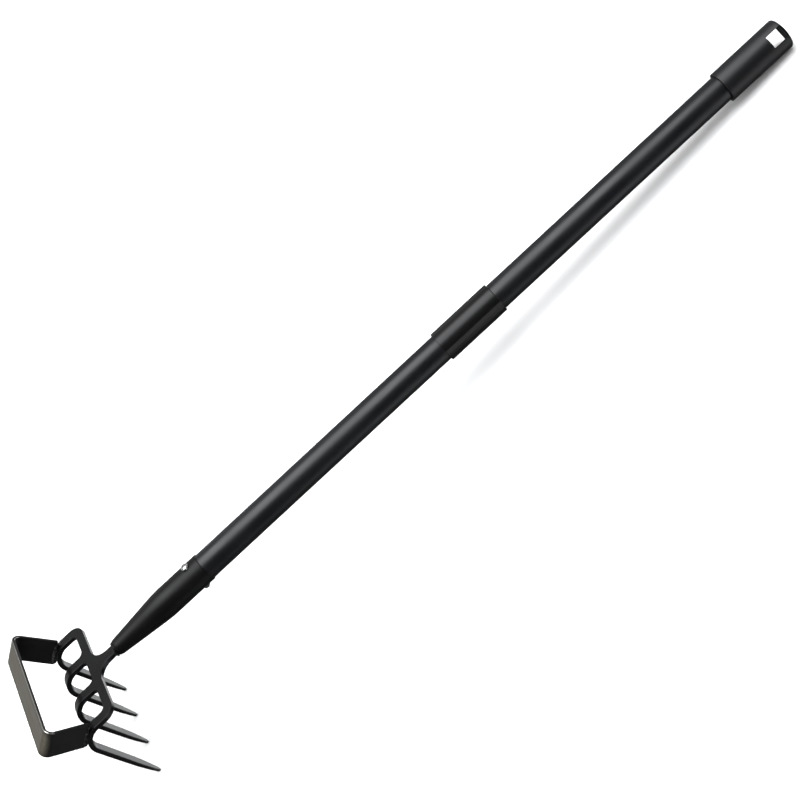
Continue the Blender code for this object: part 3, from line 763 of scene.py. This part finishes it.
def blade_ring(outer, inner, front):
    """Points of the strip's section: (place, bare steel share, ground steel share), once round from the
    outside's low edge. The bare share fades towards the strip's edges as a painted reflection. The ground
    share is also laid on the inner corners as a painted glint.
    """
    half, thick, soft = STRIP_WIDTH / 2, STRIP_THICKNESS, BLADE_SOFT_EDGE
    grind = bump((front - GROUND_FROM) / GROUND_OVER)
    # Share of ground steel on the inner edges, most at the middle of each corner: a painted glint where that
    # edge catches the light
    corner = 4.0 * front * (1.0 - front)
    wide, deep = GROUND_EDGE + GROUND_EDGE_WIDER * grind, GROUND_EDGE + GROUND_EDGE_DEEPER * grind
    middle = soft * BLADE_SOFT_MIDDLE
    shape = ((0.0, -half + wide, 0.0), (0.0, -half * 0.5, 0.0), (0.0, 0.0, 0.0), (0.0, half * 0.5, 0.0),
             (0.0, half - wide, 0.0), (0.0, half - wide, 1.0), (deep, half, 1.0), (deep, half, 0.0),
             (thick - soft, half, 0.0), (thick - soft, half, corner), (thick - middle, half - middle, corner),
             (thick, half - soft, corner), (thick, half - soft, 0.0), (thick, 0.0, 0.0),
             (thick, -half + soft, 0.0), (thick - middle, -half + middle, 0.0),
             (thick - soft, -half, 0.0), (deep, -half, 0.0), (deep, -half, 1.0), (0.0, -half + wide, 1.0))
    ring = []
    for depth, across, ground_and_glint in shape:
        share = depth / thick
        u = outer[0] + (inner[0] - outer[0]) * share
        v = outer[1] + (inner[1] - outer[1]) * share
        bare_and_sheen = 0.0
        # Bare steel on the front's outer face, faded towards both edges of the strip: the fade is painted
        # reflection, lighter down the middle of the face
        if share < OUTSIDE_SHARE:
            bare_and_sheen = bump((front - BARE_FROM) / BARE_OVER) * (1.0 - PAINTED_SHEEN_FADE * (across / half) ** 2)
        ring.append((in_loop(u, v, across), bare_and_sheen, ground_and_glint * max(grind, corner)))
    return ring


def make_blade(mat):
    """The strip's section carried round the loop, closed at the ends of both arms."""
    bm = bmesh.new()
    bare_and_sheen_layer = bm.verts.layers.float.new("bare_and_sheen")
    ground_and_glint_layer = bm.verts.layers.float.new("ground_and_glint")
    rings = []
    for outer, inner in zip(strip_side(0.0), strip_side(STRIP_THICKNESS)):
        ring = []
        for place, bare_and_sheen, ground_and_glint in blade_ring(outer, inner, outer[2]):
            vert = bm.verts.new(place)
            vert[bare_and_sheen_layer] = bare_and_sheen
            vert[ground_and_glint_layer] = ground_and_glint
            ring.append(vert)
        rings.append(ring)
    skin_rings(bm, rings, closed=False)
    bm.faces.new(list(reversed(rings[0])))
    bm.faces.new(rings[-1])
    return finish("stirrup_blade", bm, mat, BLADE_SMOOTH_ANGLE)


def make_arm_weld(side, name, mat):
    """A rippled run of weld that fills the wedge between the arm's end and the outer finger's bend."""
    middle = arm_outside(ARM_LENGTH, STRIP_THICKNESS / 2)
    centre = in_loop(side * middle, ARM_LENGTH, WELD_SHIFT)
    bend = BEND_RADIUS + FORK_THICKNESS / 2
    bm = bmesh.new()
    crest_layer = bm.verts.layers.float.new("crest")
    around, along = WELD_SEGMENTS
    bmesh.ops.create_uvsphere(bm, u_segments=around, v_segments=along, radius=1.0)
    for vert in bm.verts:
        across, rise, along = vert.co
        place = WELD_SHIFT + along * WELD_HALF_LENGTH
        wander = WELD_WANDER * math.sin(place * WELD_WANDER_RATE)
        wave = math.sin(place * WELD_RIPPLE_RATE + WELD_RIPPLE_SLANT * across + wander)
        swell = 1.0 + WELD_SWELL * wave * (1.0 - along * along)
        vert[crest_layer] = 0.5 + 0.5 * wave
        gap = bend - math.sqrt(max(bend ** 2 - place ** 2, 0.0))
        reach = WELD_OVER_ARM if rise > 0.0 else min(gap, WELD_DEEPEST) + WELD_INTO_FINGER
        offset = Vector((across * WELD_HALF_WIDTH * swell, 0.0, 0.0)) + FORWARD * rise * reach * swell
        vert.co = centre + offset + ACROSS_STRIP * along * WELD_HALF_LENGTH
    return finish(name, bm, mat, WELD_SMOOTH_ANGLE)


def neck_weld_path():
    """The bead's middle line round the neck, as (x, z) points once round."""
    half_x = NECK_WAIST_HALF_WIDTH + GAP + BEAD_RADIUS - BEAD_CORNER
    half_z = FORK_THICKNESS / 2 + GAP + BEAD_RADIUS - BEAD_CORNER
    corners = ((half_x, half_z), (-half_x, half_z), (-half_x, -half_z), (half_x, -half_z))
    path = []
    for i, centre in enumerate(corners):
        turned = (i + 1) * math.pi / 2
        turn = arc(centre, BEAD_CORNER, i * math.pi / 2, turned, BEAD_CORNER_STEPS)
        following = corners[(i + 1) % 4]
        ahead = (following[0] + BEAD_CORNER * math.cos(turned), following[1] + BEAD_CORNER * math.sin(turned))
        path += turn
        for step in range(1, BEAD_STRAIGHT_STEPS):
            share = step / BEAD_STRAIGHT_STEPS
            path.append((turn[-1][0] + (ahead[0] - turn[-1][0]) * share,
                         turn[-1][1] + (ahead[1] - turn[-1][1]) * share))
    return path


def make_neck_weld(mat):
    """A rippled bead round the neck, against the socket's end."""
    path = neck_weld_path()
    middle_y = SOCKET_END_Y - GAP - BEAD_RADIUS
    bm = bmesh.new()
    crest_layer = bm.verts.layers.float.new("crest")
    rings = []
    for i, (x, z) in enumerate(path):
        before, after = path[i - 1], path[(i + 1) % len(path)]
        tangent = Vector((after[0] - before[0], 0.0, after[1] - before[1])).normalized()
        outward = Vector((tangent.z, 0.0, -tangent.x))
        wave = math.sin(i * BEAD_RIPPLE_RATE)
        radius = BEAD_RADIUS * (1.0 + BEAD_SWELL * wave)
        ring = []
        for out, y in arc((0.0, middle_y), radius, 0.0, 2.0 * math.pi, BEAD_SECTION_STEPS)[:-1]:
            vert = bm.verts.new(Vector((x, y, z)) + outward * out)
            vert[crest_layer] = BEAD_CREST * wave
            ring.append(vert)
        rings.append(ring)
    skin_rings(bm, rings)
    return finish("neck_bead", bm, mat, WELD_SMOOTH_ANGLE)


# ---- Socket, tubes and what joins them

def socket_radius(y):
    """Outer radius of the socket: parallel, then a cone that starts with a soft shoulder."""
    slope = (SOCKET_RADIUS - SOCKET_NOSE_RADIUS) / (SOCKET_TAPER_Y - SOCKET_NOSE_Y)
    into = SOCKET_TAPER_Y - y
    if into < -SOCKET_SOFTENING:
        return SOCKET_RADIUS
    if into < SOCKET_SOFTENING:
        return SOCKET_RADIUS - slope * (into + SOCKET_SOFTENING) ** 2 / (4.0 * SOCKET_SOFTENING)
    return SOCKET_RADIUS - slope * into


def make_socket(mat):
    """The socket, hollow down to its floor, with a rounded rim and a soft nose."""
    steps = SOCKET_SOFTENING_STEPS
    stations = [SOCKET_TAPER_Y + SOCKET_SOFTENING * (1.0 - i / steps) for i in range(2 * steps + 1)]
    mouth = TUBE_RADIUS + GAP
    rim_centre = (SOCKET_RADIUS - SOCKET_RIM_ROUND, SOCKET_RIM_Y - SOCKET_RIM_ROUND)
    profile = [(mouth, SOCKET_RIM_Y - SOCKET_MOUTH_EDGE_DEPTH), (mouth + SOCKET_MOUTH_EDGE, SOCKET_RIM_Y)]
    profile += arc(rim_centre, SOCKET_RIM_ROUND, math.pi / 2, 0.0, SOCKET_ARC_STEPS)
    profile += [(socket_radius(y), y) for y in stations + [SOCKET_NOSE_Y + SOCKET_NOSE_START]]
    nose = SOCKET_NOSE_RADIUS - (SOCKET_END_RADIUS + SOCKET_END_BEVEL)
    bevel_y = SOCKET_END_Y + SOCKET_END_BEVEL
    for i in range(1, SOCKET_NOSE_STEPS):
        profile.append((SOCKET_NOSE_RADIUS - nose * bump(i / SOCKET_NOSE_STEPS),
                        SOCKET_NOSE_Y + (bevel_y - SOCKET_NOSE_Y) * i / SOCKET_NOSE_STEPS))
    profile += arc((SOCKET_END_RADIUS, bevel_y), SOCKET_END_BEVEL, 0.0, -math.pi / 2, SOCKET_ARC_STEPS)
    profile += [(ON_AXIS, SOCKET_END_Y), (ON_AXIS, SOCKET_FLOOR_Y)]
    profile += [(socket_radius(y) - SOCKET_WALL, y) for y in [SOCKET_FLOOR_Y] + stations[::-1]]
    profile += [(SOCKET_RADIUS - SOCKET_WALL, SOCKET_RIM_Y - SOCKET_MOUTH_DEPTH)]
    return finish("head_socket", revolve_y(profile), mat, TURNED_SMOOTH_ANGLE)


def tube_end(y, outward):
    """The rounded-over end of a tube's wall, from its outside to its inside."""
    middle = TUBE_RADIUS - TUBE_LIP
    inner = TUBE_RADIUS - TUBE_WALL + TUBE_LIP
    centre_y = y - outward * TUBE_LIP
    outside = arc((middle, centre_y), TUBE_LIP, 0.0, outward * math.pi / 2, TUBE_LIP_STEPS)
    inside = arc((inner, centre_y), TUBE_LIP, outward * math.pi / 2, outward * math.pi, TUBE_LIP_STEPS)
    return outside + inside


def make_lower_tube(mat):
    """The lower tube, drawn in where it goes into the socket."""
    inner = TUBE_RADIUS - TUBE_WALL
    swaged_inner = SWAGE_RADIUS - TUBE_WALL
    profile = [(swaged_inner, TUBE_BOTTOM_Y), (SWAGE_RADIUS, TUBE_BOTTOM_Y)]
    for i in range(SWAGE_STEPS + 1):
        share = bump(i / SWAGE_STEPS)
        y = SWAGE_END_Y + (SWAGE_START_Y - SWAGE_END_Y) * i / SWAGE_STEPS
        profile.append((SWAGE_RADIUS + (TUBE_RADIUS - SWAGE_RADIUS) * share, y))
    profile += tube_end(SEAM_Y - GAP / 2, 1.0)
    profile += [(inner, SWAGE_START_Y), (swaged_inner, SWAGE_END_Y)]
    return finish("lower_handle", revolve_y(profile), mat, TURNED_SMOOTH_ANGLE)


def make_upper_tube(mat):
    profile = tube_end(TUBE_TOP_Y, 1.0) + tube_end(SEAM_Y + GAP / 2, -1.0)[::-1]
    return finish("upper_handle", revolve_y(profile), mat, TURNED_SMOOTH_ANGLE)


def make_spigot(mat):
    """The inner tube across the middle joint, with a lead-in at its upper end."""
    outer = TUBE_RADIUS - TUBE_WALL - GAP
    inner = outer - SPIGOT_WALL
    low, high = SEAM_Y - SPIGOT_BELOW, SEAM_Y + SPIGOT_ABOVE
    profile = [(inner, low), (outer - SPIGOT_EDGE, low), (outer, low + SPIGOT_EDGE),
               (outer, high - SPIGOT_LEAD_IN)]
    for i in range(1, SPIGOT_NOSE_STEPS + 1):
        share = i / SPIGOT_NOSE_STEPS
        profile.append((outer - SPIGOT_NOSE_CUT * bump(share), high - SPIGOT_LEAD_IN * (1.0 - share)))
    profile += [(inner, high)]
    return finish("spigot_tube", revolve_y(profile), mat, TURNED_SMOOTH_ANGLE)


def turned_z(profile):
    """Turn an open profile of (radius, z) points, which starts and ends on the axis, about the screw."""
    bm = bmesh.new()
    verts = [bm.verts.new((radius, 0.0, z)) for radius, z in profile]
    edges = [bm.edges.new(pair) for pair in zip(verts, verts[1:])]
    bmesh.ops.spin(bm, geom=verts + edges, cent=(0, 0, 0), axis=(0, 0, 1), angle=2.0 * math.pi,
                   steps=SMALL_ROUND_STEPS, use_merge=True)
    bmesh.ops.remove_doubles(bm, verts=bm.verts, dist=MERGE)
    bmesh.ops.translate(bm, vec=(0.0, SCREW_Y, 0.0), verts=bm.verts)
    return bm


def make_screw(mat):
    """Pan-head screw down the Z axis, with a cross recess in its head and thread past its nut."""
    tail = -SEAT_Z - NUT_HEIGHT - SCREW_TAIL
    crown = SEAT_Z + SCREW_HEAD_HEIGHT
    profile = [(0.0, crown)]
    for i in range(1, SCREW_CROWN_STEPS + 1):
        angle = math.pi / 2 * i / SCREW_CROWN_STEPS
        drop = SCREW_CROWN * (1.0 - math.cos(angle) ** SCREW_CROWN_POWER)
        profile.append((SCREW_HEAD_RADIUS * math.sin(angle), crown - drop))
    thread_top = -SEAT_Z + THREAD_INSIDE
    profile += [(SCREW_HEAD_RADIUS, SEAT_Z + SCREW_HEAD_EDGE), (SCREW_HEAD_RADIUS - SCREW_HEAD_EDGE, SEAT_Z),
                (SCREW_RADIUS, SEAT_Z), (SCREW_RADIUS, thread_top)]
    for i in range(int((thread_top - tail - 2 * THREAD_FLANK) / THREAD_PITCH)):
        z = thread_top - THREAD_PITCH * i
        profile += [(SCREW_RADIUS - THREAD_DEPTH, z - THREAD_FLANK), (SCREW_RADIUS, z - 2 * THREAD_FLANK)]
    profile += [(SCREW_RADIUS - THREAD_END_CUT, tail), (0.0, tail)]
    screw = finish("cross_screw", turned_z(profile), mat, CUT_SMOOTH_ANGLE)
    near, far = RECESS_NEAR, RECESS_FAR
    half_cross = [(near, far), (-near, far), (-near, near), (-far, near), (-far, -near), (-near, -near)]
    cross = half_cross + [(-u, -v) for u, v in half_cross]
    bm = bmesh.new()
    add_prism(bm, *([(share * u, share * v + SCREW_Y, z) for u, v in cross]
                    for share, z in ((RECESS_FLOOR_SHARE, crown - RECESS_DEPTH),
                                     (RECESS_MOUTH_SHARE, crown + CLEARANCE))))
    cut(screw, finish("recess_cutter", bm, mat))
    return screw


def make_nut(mat):
    """Hex nut with chamfered corners and a clear bore."""
    low, high = -SEAT_Z - NUT_HEIGHT, -SEAT_Z
    whole = 2.0 * math.pi
    corner_radius = NUT_ACROSS_FLATS / math.sqrt(3.0)
    hexagon = arc((0.0, SCREW_Y), corner_radius, math.pi / 6, math.pi / 6 + whole, 6)[:-1]
    nut = finish("hex_nut", extrude_outline(hexagon, as_drawn, low, high), mat)
    bore = arc((0.0, SCREW_Y), SCREW_RADIUS + GAP, 0.0, whole, SMALL_ROUND_STEPS)[:-1]
    cut(nut, finish("bore_cutter", extrude_outline(bore, as_drawn, low - CLEARANCE, high + CLEARANCE), mat))
    inside = NUT_ACROSS_FLATS / 2 - NUT_CHAMFER_INSET
    outside = NUT_ACROSS_FLATS / 2 + NUT_CHAMFER_OUT
    for z, facing in ((high, 1.0), (low, -1.0)):
        section = ((inside, z + facing * NUT_CHAMFER_SKIM), (outside, z - facing * NUT_CHAMFER_DROP),
                   (outside, z + facing * CLEARANCE), (inside, z + facing * CLEARANCE))
        bm = bmesh.new()
        rings = []
        for i in range(SMALL_ROUND_STEPS):
            angle = whole * i / SMALL_ROUND_STEPS
            rings.append([bm.verts.new((r * math.cos(angle), SCREW_Y + r * math.sin(angle), h))
                          for r, h in section])
        skin_rings(bm, rings)
        cut(nut, finish("chamfer_cutter", bm, mat))
    nut.data.set_sharp_from_angle(angle=math.radians(NUT_SMOOTH_ANGLE))
    return nut


# ---- Sleeve and cap

def front_frame(across, y, out):
    """Across the front, along the handle, and out of the front, as a point of the tool's frame."""
    front = Vector((math.cos(FRONT_ANGLE), 0.0, math.sin(FRONT_ANGLE)))
    side = Vector((math.sin(FRONT_ANGLE), 0.0, -math.cos(FRONT_ANGLE)))
    return side * across + front * out + Vector((0.0, y, 0.0))


def from_front(radius, start, end, steps):
    """Arc seen along the handle, its angles measured from the front, positive towards the tines."""
    return [(across, out) for out, across in arc((0.0, 0.0), radius, start, end, steps)]


def make_sleeve(mat):
    """The sleeve's section drawn along the handle, thin at the front, with a ramp up to the thick
    part. Its lower rim is rounded, its upper one chamfered."""
    bore = TUBE_RADIUS + GAP
    far_end = 2.0 * math.pi + SLEEVE_LIP_FAR_END
    thin = from_front(SLEEVE_THIN_RADIUS, SLEEVE_LIP_FAR, SLEEVE_LIP_NEAR, SLEEVE_THIN_STEPS)
    thick = from_front(SLEEVE_THICK_RADIUS, SLEEVE_LIP_NEAR_END, far_end, SLEEVE_THICK_STEPS)
    near, far = Vector(thin[-1]), Vector(thick[0])
    ramp = [near.lerp(far, share) for share in SLEEVE_RAMP_SHARES]
    section = [(across, out, 0.0) for across, out in thin]
    section += [(across, out, 1.0) for across, out in ramp]
    section += [(across, out, 0.0) for across, out in thick]
    turn = arc((0.0, 0.0), SLEEVE_RIM, 0.0, math.pi / 2, SLEEVE_RIM_STEPS)
    levels = [(SLEEVE_START_Y + SLEEVE_RIM - y, SLEEVE_RIM - out) for out, y in reversed(turn)]
    levels += [(SLEEVE_END_Y - SLEEVE_CHAMFER, 0.0), (SLEEVE_END_Y, SLEEVE_RIM)]
    bm = bmesh.new()
    matte = bm.verts.layers.float.new("matte")
    rings = []
    for y, drop in levels + [(SLEEVE_END_Y, None), (SLEEVE_START_Y, None)]:
        ring = []
        for across, out, ramped in section:
            radius = math.hypot(across, out)
            share = (bore if drop is None else radius - drop) / radius
            vert = bm.verts.new(front_frame(across * share, y, out * share))
            vert[matte] = ramped
            ring.append(vert)
        rings.append(ring)
    skin_rings(bm, rings)
    return finish("joint_sleeve", bm, mat, SLEEVE_SMOOTH_ANGLE)


def bar_cutter(side):
    """Cutter for a V groove in the bar's inner face, and for a chamfer where that face meets the
    front (side 1) or the back (side -1). Sections are (y, distance out from the handle's axis)."""
    face = BAR_DEPTH / 2
    open_y = HOLE_END_Y - GROOVE_DEPTH
    groove = ((open_y, GROOVE_OUT - 2.0 * GROOVE_DEPTH), (open_y, GROOVE_OUT + 2.0 * GROOVE_DEPTH),
              (HOLE_END_Y + GROOVE_DEPTH, GROOVE_OUT))
    edge_y, edge_out = HOLE_END_Y - BAR_CHAMFER, face + BAR_CHAMFER
    chamfer = ((HOLE_END_Y + 2.0 * BAR_CHAMFER, edge_out), (edge_y, face - 2.0 * BAR_CHAMFER),
               (edge_y, edge_out))
    bm = bmesh.new()
    for section in (groove, chamfer):
        add_prism(bm, *([front_frame(across, y, side * out) for y, out in section]
                        for across in (-HOLE_WIDTH / 2, HOLE_WIDTH / 2)))
    return bm


def make_cap(mat):
    """The cap, domed at its end, with the hanging hole, the notches that leave a bar across its end,
    and the bar's grooves and chamfers."""
    bore = TUBE_RADIUS + GAP
    dome_centre = CAP_END_Y - CAP_DOME_RADIUS
    edge_centre = CAP_RADIUS - CAP_EDGE
    lean = math.asin(edge_centre / CAP_DOME_RADIUS)
    rim_centre = (CAP_RADIUS - CAP_RIM, CAP_START_Y + CAP_RIM)
    profile = [(bore, CAP_START_Y + CAP_MOUTH_EDGE), (bore + CAP_MOUTH_EDGE, CAP_START_Y)]
    profile += arc(rim_centre, CAP_RIM, -math.pi / 2, 0.0, CAP_RIM_STEPS)
    edge_y = dome_centre + CAP_DOME_RADIUS * math.cos(lean) - CAP_EDGE
    profile += arc((edge_centre, edge_y), CAP_EDGE, 0.0, math.pi / 2 - lean, CAP_EDGE_STEPS)
    dome = arc((0.0, dome_centre), CAP_DOME_RADIUS, math.pi / 2 - lean, math.pi / 2, CAP_EDGE_STEPS)
    profile += [(max(radius, ON_AXIS), y) for radius, y in dome[1:]]
    profile += [(ON_AXIS, TUBE_TOP_Y + GAP), (bore, TUBE_TOP_Y + GAP)]
    cap = finish("hang_cap", revolve_y(profile), mat, CUT_SMOOTH_ANGLE)
    half = HOLE_WIDTH / 2
    hole = rectangle(-half, half, HOLE_START_Y, HOLE_END_Y)
    cut(cap, finish("hole_cutter", extrude_outline(hole, front_frame, -CUTTER_REACH, CUTTER_REACH), mat))
    notch = rectangle(-half, half, HOLE_START_Y + NOTCH_INSET, CAP_END_Y + NOTCH_INSET)
    for low, high in ((BAR_DEPTH / 2, CUTTER_REACH), (-CUTTER_REACH, -BAR_DEPTH / 2)):
        cut(cap, finish("notch_cutter", extrude_outline(notch, front_frame, low, high), mat))
    for side in (1.0, -1.0):
        cut(cap, finish("bar_cutter", bar_cutter(side), mat))
    return cap


# ---- The object

def build_object():
    """Every piece, each in the place of its CAD node, on that node's body and with its finish."""
    tube_coat = powder_coat("tube_coat", TUBE_COAT, (0.34, 0.42), grain=0.20, specular=0.5)
    socket_coat = powder_coat("socket_coat", SOCKET_COAT, (0.38, 0.46), grain=0.20, specular=0.26)
    weld = weld_finish("weld_run")
    zinc = bare_metal("zinc_plate", SCREW_ZINC, (0.16, 0.30))
    # The nut's zinc is a darker copy of the screw's: painted shade under the socket
    shaded_nut_zinc = bare_metal("shaded_nut_zinc", SHADED_NUT_ZINC, (0.24, 0.38))
    drawn = bare_metal("drawn_steel", DRAWN_STEEL, (0.28, 0.42), stretch=(1.0, 0.05, 1.0))
    cap_skin = moulded_plastic("cap_skin", CAP_PLASTIC, (0.38, 0.46), grain=0.16, specular=0.5)
    sleeve_skin = moulded_plastic("sleeve_skin", SLEEVE_PLASTIC, (0.30, 0.36), grain=0.06, specular=0.36)
    lower, sleeve, upper = "lower_section", "sleeve", "upper_section"
    pieces = (
        (make_fork(fork_paint("fork_coat")), "fork", lower, "fork_steel"),
        (make_blade(blade_finish("blade_face")), "hoe_blade", lower, "blade_steel"),
        (make_arm_weld(1.0, "arm_weld_right", weld), "weld_bead_right", lower, "weld_steel"),
        (make_arm_weld(-1.0, "arm_weld_left", weld), "weld_bead_left", lower, "weld_steel"),
        (make_neck_weld(weld), "neck_weld", lower, "weld_steel"),
        (make_socket(socket_coat), "socket", lower, "socket_paint"),
        (make_lower_tube(tube_coat), "lower_tube", lower, "tube_paint"),
        (make_spigot(drawn), "joint_spigot", lower, "spigot_steel"),
        (make_screw(zinc), "socket_screw", lower, "zinc"),
        (make_nut(shaded_nut_zinc), "socket_nut", lower, "zinc"),
        (make_sleeve(sleeve_skin), "coupling_sleeve", sleeve, "sleeve_plastic"),
        (make_upper_tube(tube_coat), "upper_tube", upper, "tube_paint"),
        (make_cap(cap_skin), "end_cap", upper, "cap_plastic"),
    )
    for piece, node, body, slot in pieces:
        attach(piece, body)
        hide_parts(node)


def stage_piece(name, rings, mat):
    """A round stage piece from (radius, height) rings, the widest first, or a disc where there is
    one ring. Gloss doesn't see it."""
    bm = bmesh.new()
    made = []
    for radius, height in rings:
        points = arc((0.0, 0.0), radius, 0.0, 2.0 * math.pi, STAGE_STEPS)[:-1]
        made.append([bm.verts.new((x, y, height)) for x, y in points])
    skin_rings(bm, made, closed=False)
    if len(made) == 1:
        bm.faces.new(made[0])
    piece = as_object(name, bm, mat)
    piece.visible_glossy = False
    return piece


def build_floor():
    """A pale floor, and far behind it a pale backdrop that neither lights nor shades anything."""
    paper = floor_finish("floor_paper")
    stage_piece("floor", [(FLOOR_RADIUS, 0.0)], paper)
    rise = []
    for i in range(BACKDROP_STEPS + 1):
        angle = 0.5 * math.pi * i / BACKDROP_STEPS
        rise.append((FLOOR_RADIUS - BACKDROP_OVERLAP + BACKDROP_HEIGHT * math.sin(angle),
                     BACKDROP_HEIGHT * (1.0 - math.cos(angle))))
    backdrop = stage_piece("backdrop", rise[::-1], paper)
    backdrop.visible_diffuse = False
    backdrop.visible_shadow = False


def build_world():
    """A dim room with soft panels in it."""
    world = bpy.data.worlds.new("studio")
    world.use_nodes = True
    tree = world.node_tree
    background = filled(tree.nodes["Background"], Color=(*ROOM_COLOUR, 1.0))
    coords = new_node(tree, "TexCoord")
    total = None
    for direction, brightness, inner, outer in PANELS:
        facing = new_node(tree, "VectorMath")
        facing.operation = "DOT_PRODUCT"
        facing.inputs[1].default_value = Vector(direction).normalized()
        tree.links.new(coords.outputs["Generated"], facing.inputs[0])
        spread = new_node(tree, "MapRange", From_Min=math.cos(math.radians(outer)),
                          From_Max=math.cos(math.radians(inner)), To_Max=brightness)
        spread.interpolation_type = "SMOOTHSTEP"
        tree.links.new(facing.outputs["Value"], spread.inputs["Value"])
        added = new_node(tree, "Math")
        added.operation = "ADD"
        added.inputs[1].default_value = ROOM_BRIGHTNESS
        tree.links.new(spread.outputs["Result"], added.inputs[0])
        if total:
            tree.links.new(total, added.inputs[1])
        total = added.outputs[0]
    tree.links.new(total, background.inputs["Strength"])
    bpy.context.scene.world = world


def build_wash():
    """A very wide sun straight overhead, which gloss doesn't see."""
    light = bpy.data.lights.new("overhead_wash", "SUN")
    light.energy = WASH_ENERGY
    light.angle = WASH_ANGLE
    wash = bpy.data.objects.new("overhead_wash", light)
    wash.visible_glossy = False
    bpy.context.scene.collection.objects.link(wash)


def build_camera():
    """The camera, from its place and directions in the tool's frame."""
    data = bpy.data.cameras.new("camera")
    data.lens = CAMERA_LENS
    data.sensor_width = CAMERA_SENSOR
    camera = bpy.data.objects.new("camera", data)
    turn = TOOL.to_3x3().normalized()
    forward = (turn @ CAMERA_FORWARD).normalized()
    right = forward.cross(turn @ CAMERA_UP).normalized()
    facing = Matrix((right, right.cross(forward), -forward)).transposed()
    camera.matrix_world = Matrix.Translation(TOOL @ CAMERA_PLACE) @ facing.to_4x4()
    bpy.context.scene.collection.objects.link(camera)
    bpy.context.scene.camera = camera


bpy.context.scene.view_settings.view_transform = "Standard"
build_camera()
build_world()
build_wash()
build_floor()
build_object()
